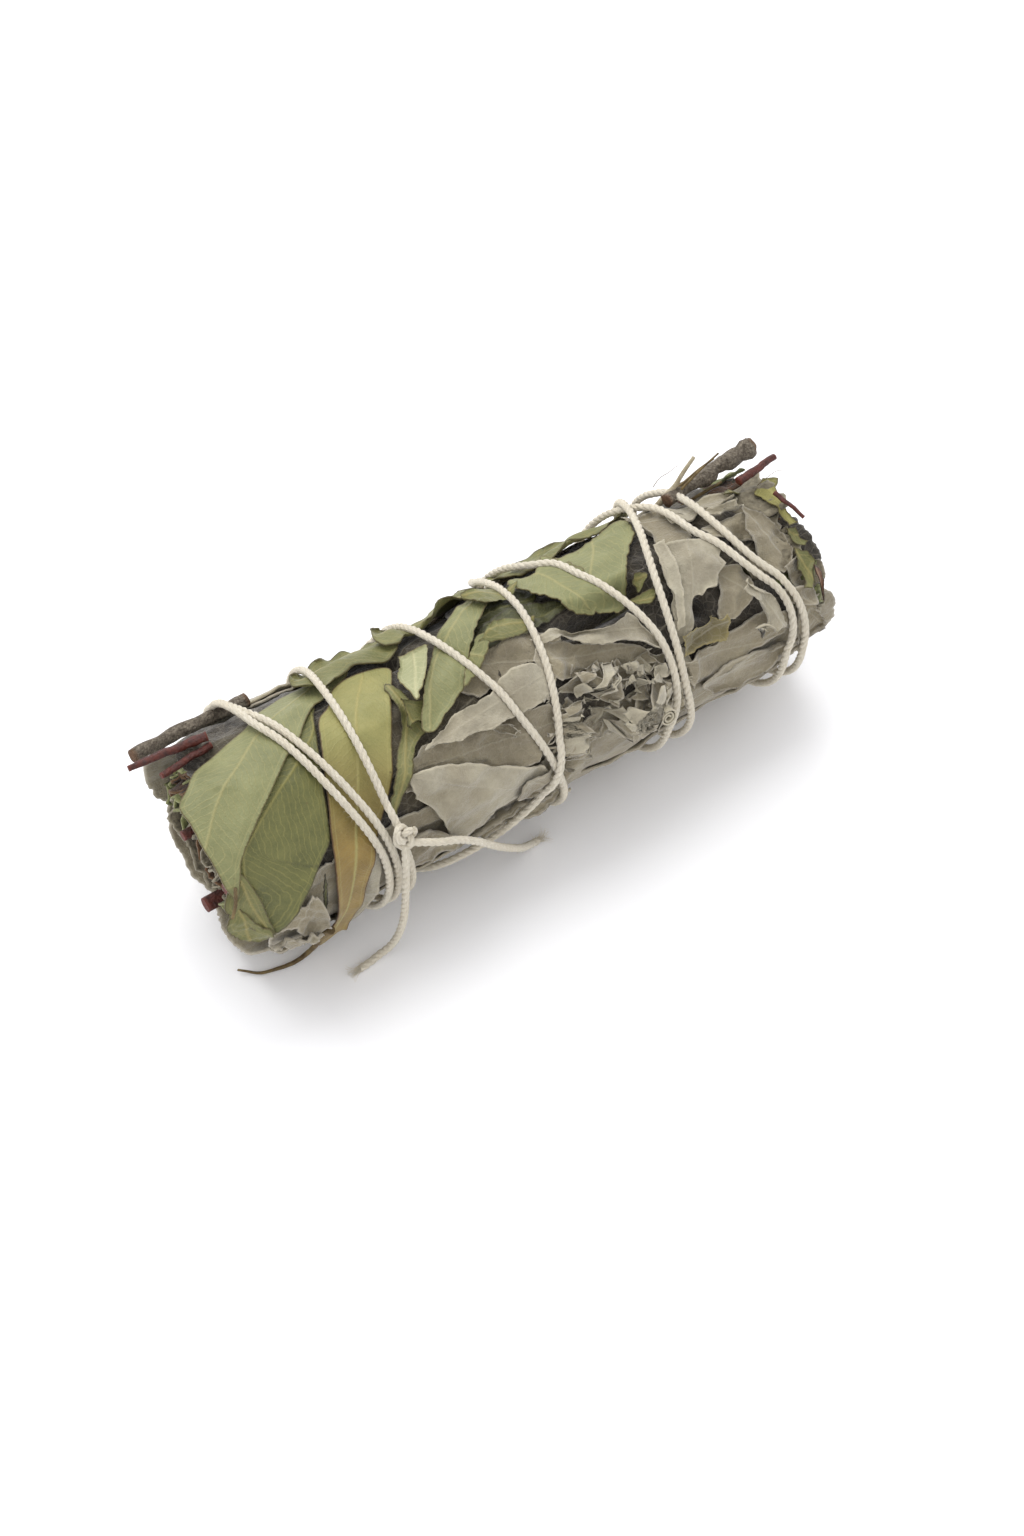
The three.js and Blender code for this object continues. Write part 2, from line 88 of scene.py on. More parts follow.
def soft_lamp(name, place, size, power):
    """A square lamp that shines from its place, in metres, at the middle of the bunch."""
    lamp = bpy.data.lights.new(name, "AREA")
    lamp.shape = "SQUARE"
    lamp.size = size
    lamp.energy = power
    holder = bpy.data.objects.new(name, lamp)
    holder.location = place
    holder.rotation_euler = Vector(place).to_track_quat("Z", "Y").to_euler()
    bpy.context.scene.collection.objects.link(holder)


soft_lamp("key_lamp", KEY_PLACE, KEY_SIZE, KEY_POWER)
soft_lamp("fill_lamp", FILL_PLACE, FILL_SIZE, FILL_POWER)
room = bpy.data.worlds.new("white_room")
room.use_nodes = True
room.node_tree.nodes["Background"].inputs["Color"].default_value = ROOM_COLOUR
room.node_tree.nodes["Background"].inputs["Strength"].default_value = ROOM_STRENGTH
bpy.context.scene.world = room


def shade(colour):
    """A colour given as 0 to 255, as a shader takes it."""
    return tuple((c / 255) ** 2.2 for c in colour) + (1,)


class Finish:
    """A material made node by node. A value that is a socket is linked, and any other is set."""

    def __init__(self, name, **surface):
        self.material = bpy.data.materials.new(name)
        self.material.use_nodes = True
        self.tree = self.material.node_tree
        self.surface = self.tree.nodes["Principled BSDF"]
        for key, value in surface.items():
            self.put(self.surface, key.replace("_", " ").title(), value)

    def put(self, node, key, value):
        socket = node.inputs[key]
        if isinstance(value, bpy.types.NodeSocket):
            self.tree.links.new(value, socket)
        else:
            socket.default_value = value

    def node(self, kind, output=0, inputs=None, **settings):
        made = self.tree.nodes.new(kind)
        for key, value in settings.items():
            setattr(made, key, value)
        for key, value in (inputs or {}).items():
            self.put(made, key, value)
        return made.outputs[output]

    def math(self, operation, first, second=0.0):
        return self.node("ShaderNodeMath", 0, {0: first, 1: second}, operation=operation)

    def mix(self, share, first, second):
        """The first colour where the share is 0 and the second where it is 1."""
        colours = [c if isinstance(c, bpy.types.NodeSocket) else shade(c) for c in (first, second)]
        return self.node("ShaderNodeMix", 2, {0: share, 6: colours[0], 7: colours[1]}, data_type="RGBA")

    def value(self, name):
        """A number that the piece's own mesh holds for each point."""
        return self.node("ShaderNodeAttribute", "Fac", attribute_name=name)

    def spread(self, value, low, high):
        """0 at low, 1 at high, and between them in between."""
        return self.node("ShaderNodeMapRange", 0, {"Value": value, "From Min": low, "From Max": high})

    def noise(self, size, low=0.3, high=0.7, detail=3.0):
        """Soft noise from 0 to 1 with marks about this many millimetres across."""
        place = self.node("ShaderNodeTexCoord", "Object")
        raw = self.node(
            "ShaderNodeTexNoise", "Fac", {"Vector": place, "Scale": 1 / (size * MM), "Detail": detail},
        )
        return self.spread(raw, low, high)

    def net(self, size, width):
        """1 on the lines of an irregular net with cells this many millimetres across."""
        place = self.node("ShaderNodeTexCoord", "Object")
        settings = {"Vector": place, "Scale": 1 / (size * MM)}
        raw = self.node("ShaderNodeTexVoronoi", "Distance", settings, feature="DISTANCE_TO_EDGE")
        return self.spread(raw, width, 0.0)

    def spots(self, spacing, radius):
        """1 in small round spots, about one to each cell of this size."""
        place = self.node("ShaderNodeTexCoord", "Object")
        raw = self.node("ShaderNodeTexVoronoi", "Distance", {"Vector": place, "Scale": 1 / (spacing * MM)})
        return self.spread(raw, radius / spacing, 0.6 * radius / spacing)

    def line(self, value, width):
        """1 where a value is 0, falling to 0 at a width on either side."""
        return self.spread(self.math("ABSOLUTE", value), width, 0.0)

    def bump(self, height, depth):
        """Tilts the surface as if it rose by this many millimetres where the height is 1."""
        settings = {"Height": height, "Distance": depth * MM, "Strength": 1.0}
        self.put(self.surface, "Normal", self.node("ShaderNodeBump", 0, settings))

    def colour(self, value):
        self.put(self.surface, "Base Color", value)
        return self.material


def mesh_object(name, mesh, *materials):
    """A new object for a mesh, at the origin, in the scene."""
    for material in materials:
        mesh.materials.append(material)
    made = bpy.data.objects.new(name, mesh)
    bpy.context.scene.collection.objects.link(made)
    return made


table_finish = Finish("white_table", roughness=0.6)
table_white = table_finish.colour(
    table_finish.mix(table_finish.noise(40), (249, 249, 250), (251, 251, 252))
)
table_mesh = bpy.data.meshes.new("table")
corners = [(x * TABLE_HALF, y * TABLE_HALF, 0) for x, y in ((-1, -1), (1, -1), (1, 1), (-1, 1))]
table_mesh.from_pydata(corners, [], [(0, 1, 2, 3)])
mesh_object("table", table_mesh, table_white)


# The two free ends of the string
# Soft unbleached cotton string of three twisted plies, 1.2 mm thick. Its ends hang from the knot and lie
# frayed on the table. They are 40 mm and 33 mm long, of which about 2 mm is inside the knot.
STRING_DIAMETER = 1.2
PLY_RADIUS = 0.38
PLY_OFFSET = 0.25
PLY_PITCH = 3.6
PLY_STEP = 0.36
PLY_SIDES = 8
RIGHT_TAIL = [
    (-28.6, -19.2, 27.9), (-26.9, -19.5, 26.9), (-24.0, -20.0, 25.2), (-21.0, -20.2, 23.5),
    (-18.0, -20.2, 20.7), (-14.9, -19.8, 16.6), (-11.2, -18.6, 11.3), (-7.6, -17.0, 6.3),
    (-5.4, -15.4, 3.0), (-3.6, -14.5, 1.2), (-1.7, -14.3, 0.75),
]
DOWN_TAIL = [
    (-29.4, -19.2, 27.8), (-29.8, -19.8, 26.4), (-30.1, -20.2, 24.4), (-30.3, -20.5, 22.0),
    (-30.6, -20.7, 18.3), (-30.8, -20.7, 14.6), (-31.0, -20.2, 9.9), (-31.6, -19.6, 6.0),
    (-32.6, -18.7, 2.6), (-33.8, -18.1, 1.0), (-35.8, -18.3, 0.7), (-38.8, -18.6, 0.7),
]


def smooth_curve(points, step):
    """Points a step apart along the smooth curve through the given ones."""
    points = np.asarray(points, float)
    ends = np.vstack([2 * points[0] - points[1], points, 2 * points[-1] - points[-2]])
    knots = np.r_[0, np.cumsum(np.linalg.norm(np.diff(ends, axis=0), axis=1) ** 0.5)]
    dense = []
    for i in range(1, len(ends) - 2):
        t = np.linspace(knots[i], knots[i + 1], 25)[:, None]
        p = ends[i - 1:i + 3]
        k = knots[i - 1:i + 3]
        near = [((k[j + 1] - t) * p[j] + (t - k[j]) * p[j + 1]) / (k[j + 1] - k[j]) for j in range(3)]
        wide = [((k[j + 2] - t) * near[j] + (t - k[j]) * near[j + 1]) / (k[j + 2] - k[j]) for j in range(2)]
        dense.append(((k[2] - t) * wide[0] + (t - k[1]) * wide[1]) / (k[2] - k[1]))
    dense = np.vstack(dense)
    dense = dense[np.r_[True, np.linalg.norm(np.diff(dense, axis=0), axis=1) > 1e-9]]
    run = np.r_[0, np.cumsum(np.linalg.norm(np.diff(dense, axis=0), axis=1))]
    at = np.linspace(0, run[-1], max(2, round(run[-1] / step) + 1))
    return np.stack([np.interp(at, run, dense[:, axis]) for axis in range(dense.shape[1])], 1)


class Steps:
    """A Geometry Nodes tree made node by node, with named inputs for its sizes."""

    def __init__(self, name, **sizes):
        self.tree = bpy.data.node_groups.new(name, "GeometryNodeTree")
        self.tree.interface.new_socket("Geometry", in_out="INPUT", socket_type="NodeSocketGeometry")
        self.tree.interface.new_socket("Geometry", in_out="OUTPUT", socket_type="NodeSocketGeometry")
        for key, value in sizes.items():
            kind = "NodeSocketInt" if isinstance(value, int) else "NodeSocketFloat"
            self.tree.interface.new_socket(key, in_out="INPUT", socket_type=kind).default_value = value
        self.given = self.tree.nodes.new("NodeGroupInput").outputs
        self.result = self.tree.nodes.new("NodeGroupOutput").inputs[0]

    def node(self, kind, output=0, inputs=None, **settings):
        made = self.tree.nodes.new(kind)
        for key, value in settings.items():
            setattr(made, key, value)
        for key, value in (inputs or {}).items():
            for one in value if isinstance(value, list) else [value]:
                if isinstance(one, bpy.types.NodeSocket):
                    self.tree.links.new(one, made.inputs[key])
                else:
                    made.inputs[key].default_value = one
        return made.outputs[output]

    def math(self, operation, first, second=0.0):
        return self.node("ShaderNodeMath", 0, {0: first, 1: second}, operation=operation)

    def scaled(self, vector, factor):
        return self.node("ShaderNodeVectorMath", 0, {0: vector, "Scale": factor}, operation="SCALE")

    def added(self, first, second):
        return self.node("ShaderNodeVectorMath", 0, {0: first, 1: second}, operation="ADD")

    def store(self, geometry, name, value):
        settings = {0: geometry, "Name": name, "Value": value}
        return self.node("GeometryNodeStoreNamedAttribute", 0, settings, data_type="FLOAT", domain="POINT")

    def finish(self, geometry, material):
        real = self.node("GeometryNodeRealizeInstances", 0, {0: geometry})
        real = self.node("GeometryNodeSetMaterial", 0, {0: real, "Material": material})
        self.tree.links.new(real, self.result)

    def run(self, base, name, **sizes):
        """The tree's result on a base mesh, as an object with a plain mesh."""
        holder = mesh_object(name + "_base", base)
        modifier = holder.modifiers.new("steps", "NODES")
        modifier.node_group = self.tree
        for item in self.tree.interface.items_tree:
            if item.in_out == "INPUT" and item.name in sizes:
                modifier[item.identifier] = sizes[item.name]
        evaluated = holder.evaluated_get(bpy.context.evaluated_depsgraph_get())
        mesh = bpy.data.meshes.new_from_object(evaluated)
        bpy.data.objects.remove(holder)
        mesh.name = name
        return mesh_object(name, mesh)


cotton = Finish("cotton_string", roughness=0.9, sheen_weight=0.3, sheen_roughness=0.6)
ply_turn = cotton.math("ARCTAN2", cotton.value("ply_sine"), cotton.value("ply_cosine"))
ply_run = cotton.value("ply_run")
fibre_turn = cotton.math("ADD", ply_turn, cotton.math("MULTIPLY", ply_run, 1.3))
fibre_place = cotton.node("ShaderNodeCombineXYZ", 0, {
    "X": cotton.math("SINE", fibre_turn),
    "Y": cotton.math("COSINE", fibre_turn),
    "Z": cotton.math("MULTIPLY", ply_run, 0.35),
})
fibres = cotton.node("ShaderNodeTexNoise", "Fac", {"Vector": fibre_place, "Scale": 4.5, "Detail": 4.0})
fibres = cotton.spread(fibres, 0.3, 0.7)
cotton_colour = cotton.mix(fibres, (196, 186, 164), (233, 226, 208))
cotton_colour = cotton.mix(cotton.math("MULTIPLY", cotton.noise(9), 0.3), cotton_colour, (210, 196, 166))
cotton.bump(cotton.math("ADD", fibres, cotton.math("MULTIPLY", cotton.noise(0.25), 0.4)), 0.09)
cotton.colour(cotton_colour)

plied = Steps(
    "plied_string", Ply_Radius=PLY_RADIUS, Ply_Offset=PLY_OFFSET, Pitch=PLY_PITCH, Sides=PLY_SIDES,
    Step=PLY_STEP,
)
route = plied.node("GeometryNodeMeshToCurve", 0, {0: plied.given["Geometry"]})
route_step = plied.math("MULTIPLY", plied.given["Step"], MM)
route = plied.node("GeometryNodeResampleCurve", 0, {0: route, "Length": route_step}, mode="LENGTH")
run_along = plied.math("DIVIDE", plied.node("GeometryNodeSplineParameter", "Length"), MM)
route = plied.store(route, "ply_run", run_along)
ring_radius = plied.math("MULTIPLY", plied.given["Ply_Radius"], MM)
ring = plied.node(
    "GeometryNodeCurvePrimitiveCircle", 0, {"Resolution": plied.given["Sides"], "Radius": ring_radius},
)
ring_index = plied.node("GeometryNodeInputIndex")
ring_turn = plied.math("MULTIPLY", plied.math("DIVIDE", ring_index, plied.given["Sides"]), 2 * math.pi)
ring = plied.store(ring, "ply_sine", plied.math("SINE", ring_turn))
ring = plied.store(ring, "ply_cosine", plied.math("COSINE", ring_turn))
across = plied.node("GeometryNodeInputNormal")
along = plied.node("GeometryNodeInputTangent")
sideways = plied.node("ShaderNodeVectorMath", 0, {0: along, 1: across}, operation="CROSS_PRODUCT")
reach = plied.math("MULTIPLY", plied.given["Ply_Offset"], MM)
strands = []
for ply in range(3):
    twist = plied.math("MULTIPLY", plied.math("DIVIDE", run_along, plied.given["Pitch"]), 2 * math.pi)
    twist = plied.math("ADD", twist, 2 * math.pi * ply / 3)
    first = plied.scaled(across, plied.math("MULTIPLY", plied.math("COSINE", twist), reach))
    second = plied.scaled(sideways, plied.math("MULTIPLY", plied.math("SINE", twist), reach))
    strand = plied.node("GeometryNodeSetPosition", 0, {0: route, "Offset": plied.added(first, second)})
    strands.append(plied.node("GeometryNodeCurveToMesh", 0, {0: strand, 1: ring, "Fill Caps": True}))
strands = plied.node("GeometryNodeJoinGeometry", 0, {0: strands})
plied.finish(plied.node("GeometryNodeSetShadeSmooth", 0, {0: strands}), cotton.material)

hairy = Steps("cotton_fibres", Hairs_Per_Square_MM=0.5, Length=0.6, Thickness=0.016, Lean=1.0, Seed=4)
density = hairy.math("MULTIPLY", hairy.given["Hairs_Per_Square_MM"], 1e6)
spread = hairy.tree.nodes.new("GeometryNodeDistributePointsOnFaces")
hairy.tree.links.new(hairy.given["Geometry"], spread.inputs["Mesh"])
hairy.tree.links.new(density, spread.inputs["Density"])
hairy.tree.links.new(hairy.given["Seed"], spread.inputs["Seed"])
lean = hairy.node(
    "FunctionNodeRandomValue", 0, {0: (-1, -1, -1), 1: (1, 1, 1), "Seed": hairy.given["Seed"]},
    data_type="FLOAT_VECTOR",
)
way = hairy.added(spread.outputs["Normal"], hairy.scaled(lean, hairy.given["Lean"]))
spin = hairy.node("FunctionNodeRandomValue", 1, {2: 0.0, 3: 2 * math.pi, "Seed": 11}, data_type="FLOAT")
spin = hairy.node("FunctionNodeEulerToRotation", 0, {0: hairy.node("ShaderNodeCombineXYZ", 0, {"Z": spin})})
aimed = hairy.node("FunctionNodeAlignRotationToVector", 0, {"Rotation": spin, "Vector": way}, axis="Z")
hair_line = hairy.node(
    "GeometryNodeCurvePrimitiveBezierSegment", 0,
    {
        "Resolution": 5, "Start": (0, 0, -0.05), "Start Handle": (0, 0, 0.4),
        "End Handle": (0.2, 0, 0.75), "End": (0.55, 0.1, 0.95),
    },
)
thinning = hairy.math(
    "SUBTRACT", 1.0, hairy.math("MULTIPLY", hairy.node("GeometryNodeSplineParameter", "Factor"), 0.7),
)
hair_radius = hairy.math("DIVIDE", hairy.given["Thickness"], hairy.given["Length"])
hair_ring = hairy.node("GeometryNodeCurvePrimitiveCircle", 0, {"Resolution": 3, "Radius": hair_radius})
hair = hairy.node(
    "GeometryNodeCurveToMesh", 0, {0: hair_line, 1: hair_ring, "Scale": thinning, "Fill Caps": True},
)
hair_size = hairy.node("FunctionNodeRandomValue", 1, {2: 0.35, 3: 1.0, "Seed": 7}, data_type="FLOAT")
hair_size = hairy.math("MULTIPLY", hair_size, hairy.math("MULTIPLY", hairy.given["Length"], MM))
hairs = hairy.node("GeometryNodeInstanceOnPoints", 0, {
    0: spread.outputs["Points"], "Instance": hair, "Rotation": aimed, "Scale": hair_size,
})
hairy.finish(hairs, cotton.material)


def line_mesh(name, points):
    """A bare line of points, given in millimetres, for Geometry Nodes to follow."""
    mesh = bpy.data.meshes.new(name)
    links = [(i, i + 1) for i in range(len(points) - 1)]
    mesh.from_pydata([tuple(p) for p in np.asarray(points) * MM], links, [])
    return mesh


def merged(name, objects):
    """Several mesh objects made one."""
    bpy.ops.object.select_all(action="DESELECT")
    for one in objects:
        one.select_set(True)
    bpy.context.view_layer.objects.active = objects[0]
    bpy.ops.object.join()
    objects[0].name = name
    objects[0].data.name = name
    return objects[0]


END_DISC_SIDES = 12


def end_disc(name, place, direction, radius):
    """A small round patch that faces a direction, for the fibres of a frayed end to grow out of."""
    turn = Vector(direction).to_track_quat("Z", "Y").to_matrix()
    mesh = bpy.data.meshes.new(name)
    around = np.linspace(0, 2 * math.pi, END_DISC_SIDES, endpoint=False)
    rim = [Vector((math.cos(angle), math.sin(angle), 0)) for angle in around]
    points = [Vector(place) * MM + turn @ spot * radius * MM for spot in rim]
    mesh.from_pydata(points, [], [tuple(range(END_DISC_SIDES))])
    return mesh


def string_tail(name, node, points, fray_way):
    """A free end of the string with its fuzz and its frayed tip."""
    path = smooth_curve(points, 0.5)
    twisted = plied.run(line_mesh(name, path[:-2]), name + "_plies")
    fuzz = hairy.run(twisted.data.copy(), name + "_fuzz", Hairs_Per_Square_MM=0.8)
    tip = end_disc(name + "_tip", path[-3], path[-1] - path[-4], 0.5)
    brush = hairy.run(
        tip, name + "_fray", Hairs_Per_Square_MM=110.0, Length=2.3, Thickness=0.03, Lean=0.26, Seed=9,
    )
    stray = end_disc(name + "_side", path[-5], fray_way, 0.45)
    loose = hairy.run(
        stray, name + "_loose", Hairs_Per_Square_MM=40.0, Length=1.7, Thickness=0.03, Lean=0.35, Seed=5,
    )
    tail = merged(name, [twisted, fuzz, brush, loose])
    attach(tail, "root")
    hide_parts(node)


string_tail("string_end_right", "string_tail_right", RIGHT_TAIL, (0.6, 0.3, 0.7))
string_tail("string_end_down", "string_tail_down", DOWN_TAIL, (-0.8, 0.3, 0.3))


# The string round the bunch
# One length of the same cotton string, about a metre long, wound tight round the bunch in nine turns.
# Its route is a list of [x, angle] on the bundle. Angles start at the top and turn towards the front.
STRING_ROUTE = [
    (-29, 64), (-28.6, 72), (-27.8, 95), (-27.4, 120), (-27.2, 150), (-27.2, 190), (-28.0, 218),
    (-32.5, 255), (-38.2, 292), (-39.9, 318), (-39.2, 335), (-37.6, 350), (-36.2, 366), (-34.8, 381),
    (-33.4, 396), (-32.0, 411), (-30.9, 426), (-30.3, 445), (-30.3, 475), (-30.4, 510), (-30.4, 550),
    (-31.0, 577), (-36.5, 615), (-40.6, 650), (-40.6, 685), (-39.6, 706), (-38.3, 720), (-37.1, 735),
    (-35.9, 750), (-34.5, 765), (-33.1, 780), (-32.2, 794), (-31.9, 815), (-32.2, 840), (-32.8, 870),
    (-33.5, 910), (-33.9, 936), (-20.0, 980), (-11.6, 1010), (-10.3, 1030), (-9.6, 1047), (-9.0, 1062),
    (-7.8, 1080), (-6.4, 1096), (-5.2, 1109), (-4.2, 1124), (-2.8, 1140), (-1.7, 1154), (-0.6, 1170),
    (0.2, 1185), (0.8, 1230), (1.2, 1270), (4.5, 1320), (8.0, 1370), (11.4, 1404), (14.4, 1416),
    (15.9, 1432), (17.0, 1440), (18.6, 1454), (20.0, 1468), (21.0, 1482), (21.2, 1496), (21.0, 1508),
    (20.6, 1518), (19.9, 1528), (19.0, 1537), (18.6, 1570), (18.8, 1620), (19.4, 1655), (23.5, 1690),
    (28.0, 1730), (31.0, 1757), (33.4, 1772), (34.2, 1785), (34.6, 1794), (35.2, 1802), (36.9, 1812),
    (38.6, 1826), (40.4, 1838), (41.9, 1846), (42.8, 1856), (43.0, 1867), (42.4, 1878), (41.2, 1888),
    (40.8, 1905), (40.6, 1930), (40.2, 1980), (39.8, 2014), (38.0, 2050), (36.2, 2090), (36.8, 2112),
    (37.8, 2124), (38.1, 2140), (38.5, 2158), (39.2, 2172), (40.3, 2185), (41.6, 2194), (42.9, 2201),
    (43.9, 2209), (44.6, 2217), (45.0, 2228), (44.9, 2240), (44.4, 2254), (44.4, 2290), (44.2, 2340),
    (43.4, 2374), (37.6, 2420), (32.6, 2450), (30.9, 2478), (29.8, 2493), (28.3, 2507), (26.7, 2520),
    (25.2, 2534), (24.0, 2549), (23.2, 2564), (22.7, 2580), (22.6, 2592), (22.9, 2604), (23.3, 2620),
    (23.2, 2650), (22.8, 2700), (22.0, 2734), (14.0, 2770), (6.4, 2810), (5.2, 2834), (5.2, 2854),
    (4.9, 2874), (4.0, 2892), (3.1, 2906), (2.0, 2920), (0.8, 2935), (-0.6, 2950), (-2.2, 2962),
    (-4.4, 2972), (-8.5, 2984), (-14.0, 2998), (-20.0, 3014), (-24.0, 3040), (-25.2, 3080), (-26.0, 3130),
    (-26.4, 3180), (-26.8, 3204), (-27.5, 3220), (-28.2, 3240), (-28.8, 3262), (-29.1, 3280),
    (-29.1, 3295), (-29, 3303),
]
BUNCH_RADIUS = 17.0
LEFT_SWELL = 1.6
RIGHT_TAPER = 0.5
AXIS_CLEARANCE = 1.9
STRING_DEPTH = 0.55
UNROLLED_DEGREE = 0.3
ROUTE_STEP = 0.7
CROSSING_GAP = 1.1
CROSSING_STEPS = 16
HUMP_BEND = 8.0
NO_CROSSING = -9


def smooth_step(value, low, high):
    """0 below the low value, 1 above the high one, and a smooth rise between them."""
    share = np.clip((value - low) / (high - low), 0, 1)
    return share * share * (3 - 2 * share)


def bundle_radius(x):
    """The bundle's radius under its outer leaves, a little larger towards the left end."""
    return BUNCH_RADIUS + LEFT_SWELL * smooth_step(-x, 7, 52) - RIGHT_TAPER * smooth_step(x, 18, 53)


def on_bundle(x, angle, depth):
    """Points in mm at a distance along the bundle, an angle round it and a depth above its radius."""
    radius = bundle_radius(x) + depth
    turn = np.radians(angle)
    axis = bundle_radius(x) + AXIS_CLEARANCE
    return np.stack([x + 0 * turn, -radius * np.sin(turn), axis + radius * np.cos(turn)], -1)


flat_route = smooth_curve([(x, angle * UNROLLED_DEGREE) for x, angle in STRING_ROUTE], ROUTE_STEP)
route_x = flat_route[:, 0]
route_angle = flat_route[:, 1] / UNROLLED_DEGREE
route_turn = (route_angle[:, None] - route_angle[None, :] + 180) % 360 - 180
route_gap = np.hypot(route_x[:, None] - route_x[None, :], route_turn * UNROLLED_DEGREE)
route_order = np.arange(len(route_x))
steps_between = route_order[:, None] - route_order[None, :]
crossing = (steps_between > CROSSING_STEPS) & (route_gap < CROSSING_GAP)
clearance = np.where(crossing, np.sqrt(np.maximum(0, CROSSING_GAP**2 - route_gap**2)), NO_CROSSING)
hump = -((steps_between * ROUTE_STEP) ** 2) / (2 * HUMP_BEND)
route_depth = np.full(len(route_x), STRING_DEPTH)
for attempt in range(3):
    needed = np.maximum(STRING_DEPTH, (route_depth[None, :] + clearance).max(1))
    route_depth = np.maximum(STRING_DEPTH, (needed[None, :] + hump).max(1))
string_path = on_bundle(route_x, route_angle, route_depth)

turns = plied.run(line_mesh("string_route", string_path), "string_turns")
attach(turns, "root")
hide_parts("string_wraps")
turns_fuzz = hairy.run(turns.data.copy(), "string_turns_fuzz", Hairs_Per_Square_MM=0.5, Seed=21)
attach(turns_fuzz, "root")


# The knot
# The string's two ends tied in one tight lump on the front of the bunch. It is made of loops of the same
# string, a little thinner where they are drawn into each other.
KNOT_X = -29.0
KNOT_ANGLE = 63.5
KNOT_DEPTH = 2.8
KNOT_SIZE = 0.54
KNOT_PLY_RADIUS = 0.34
KNOT_PLY_OFFSET = 0.24
KNOT_PITCH = 3.2
knot_turn = np.linspace(0.35, 0.35 + 2 * math.pi * 0.97, 60)
knot_reach = (2 + np.cos(3 * knot_turn)) * KNOT_SIZE
knot_flat = np.stack([knot_reach * np.cos(2 * knot_turn), knot_reach * np.sin(2 * knot_turn)], 1)
knot_middle = on_bundle(KNOT_X, KNOT_ANGLE, KNOT_DEPTH)
knot_out = on_bundle(KNOT_X, KNOT_ANGLE, KNOT_DEPTH + 1) - knot_middle
knot_down = np.cross(knot_out, (1, 0, 0))
knot_path = (
    knot_middle + knot_flat[:, :1] * np.array((1, 0, 0)) + knot_flat[:, 1:] * knot_down
    + (1.25 * KNOT_SIZE * np.sin(3 * knot_turn))[:, None] * knot_out
)
knot_line = line_mesh("knot_route", knot_path)
knot_plies = {"Ply_Radius": KNOT_PLY_RADIUS, "Ply_Offset": KNOT_PLY_OFFSET, "Pitch": KNOT_PITCH}
knot = plied.run(knot_line, "knot_plies", **knot_plies)
knot_fuzz = hairy.run(knot.data.copy(), "knot_fuzz", Hairs_Per_Square_MM=0.6, Seed=33)
knot = merged("knot", [knot, knot_fuzz])
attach(knot, "root")
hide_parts("string_knot")


# The rolled leaves and cut stems inside
# Leaves rolled up lengthwise are packed round one in the middle, with red-brown stems between them.
# Only their ends show, at both ends of the bunch.
ROLL_PITCH = 8.4
ROLL_INSIDE = 0.9
ROLL_OUTSIDE = 4.0
ROLL_TURNS = 2.6
PACK_HALF_LENGTH = 49.0
PACK_HEIGHT = BUNCH_RADIUS + AXIS_CLEARANCE
INNER_STEMS = [
    (30, 4.85, 0.8, -53.5), (150, 4.85, 0.8, -52.5), (150, 11.1, 1.35, -54.2), (210, 11.1, 1.45, -53.2),
    (270, 11.1, 1.2, -53.2),
]


def rough(x, y, size, seed, layers=3):
    """Soft random numbers from 0 to 1 that change over about this many millimetres."""
    total = 0.0
    weight = 0.0
    for layer in range(layers):
        lattice = np.random.default_rng(seed * 31 + layer).random((64, 64))
        u = np.asarray(x) / size * 2**layer + 17.3 * layer
        v = np.asarray(y) / size * 2**layer + 5.7 * layer
        i = np.floor(u).astype(int)
        j = np.floor(v).astype(int)
        a = smooth_step(u - i, 0, 1)
        b = smooth_step(v - j, 0, 1)
        near = lattice[i % 64, j % 64] * (1 - a) + lattice[(i + 1) % 64, j % 64] * a
        far = lattice[i % 64, (j + 1) % 64] * (1 - a) + lattice[(i + 1) % 64, (j + 1) % 64] * a
        total = total + 0.5**layer * (near * (1 - b) + far * b)
        weight += 0.5**layer
    return total / weight


def creases(x, y, size, seed):
    """Sharp ridges from 0 to 1 with soft valleys between them."""
    return 1 - np.abs(2 * rough(x, y, size, seed, 2) - 1) ** 0.7


def sheet_shell(points, thickness):
    """A closed shell of this thickness round a grid of points: its vertices and faces."""
    rows, columns = points.shape[:2]
    normal = np.cross(np.gradient(points, axis=0), np.gradient(points, axis=1))
    normal /= np.maximum(np.linalg.norm(normal, axis=2, keepdims=True), 1e-9)
    vertices = np.concatenate([(points + normal * thickness / 2).reshape(-1, 3),
                               (points - normal * thickness / 2).reshape(-1, 3)])
    number = np.arange(rows * columns).reshape(rows, columns)
    quads = np.stack([number[:-1, :-1], number[1:, :-1], number[1:, 1:], number[:-1, 1:]], -1)
    quads = quads.reshape(-1, 4)
    rim = np.concatenate([number[:-1, 0], number[-1, :-1], number[:0:-1, -1], number[0, :0:-1]])
    following = np.roll(rim, -1)
    low = rows * columns
    walls = np.stack([rim, rim + low, following + low, following], -1)
    faces = np.concatenate([quads, quads[:, ::-1] + low, walls])
    return vertices, faces.tolist()


def shells_object(name, shells, material, **numbers):
    """One mesh object for several shells of [vertices in mm, faces], with numbers for each vertex."""
    vertices = np.concatenate([shell[0] for shell in shells]) * MM
    faces = []
    start = 0
    for shell in shells:
        faces += [[corner + start for corner in face] for face in shell[1]]
        start += len(shell[0])
    mesh = bpy.data.meshes.new(name)
    mesh.from_pydata(vertices.tolist(), [], faces)
    for key, values in numbers.items():
        values = np.concatenate(values).astype(np.float32)
        mesh.attributes.new(key, "FLOAT", "POINT").data.foreach_set("value", values)
    mesh.polygons.foreach_set("use_smooth", [True] * len(mesh.polygons))
    return mesh_object(name, mesh, material)


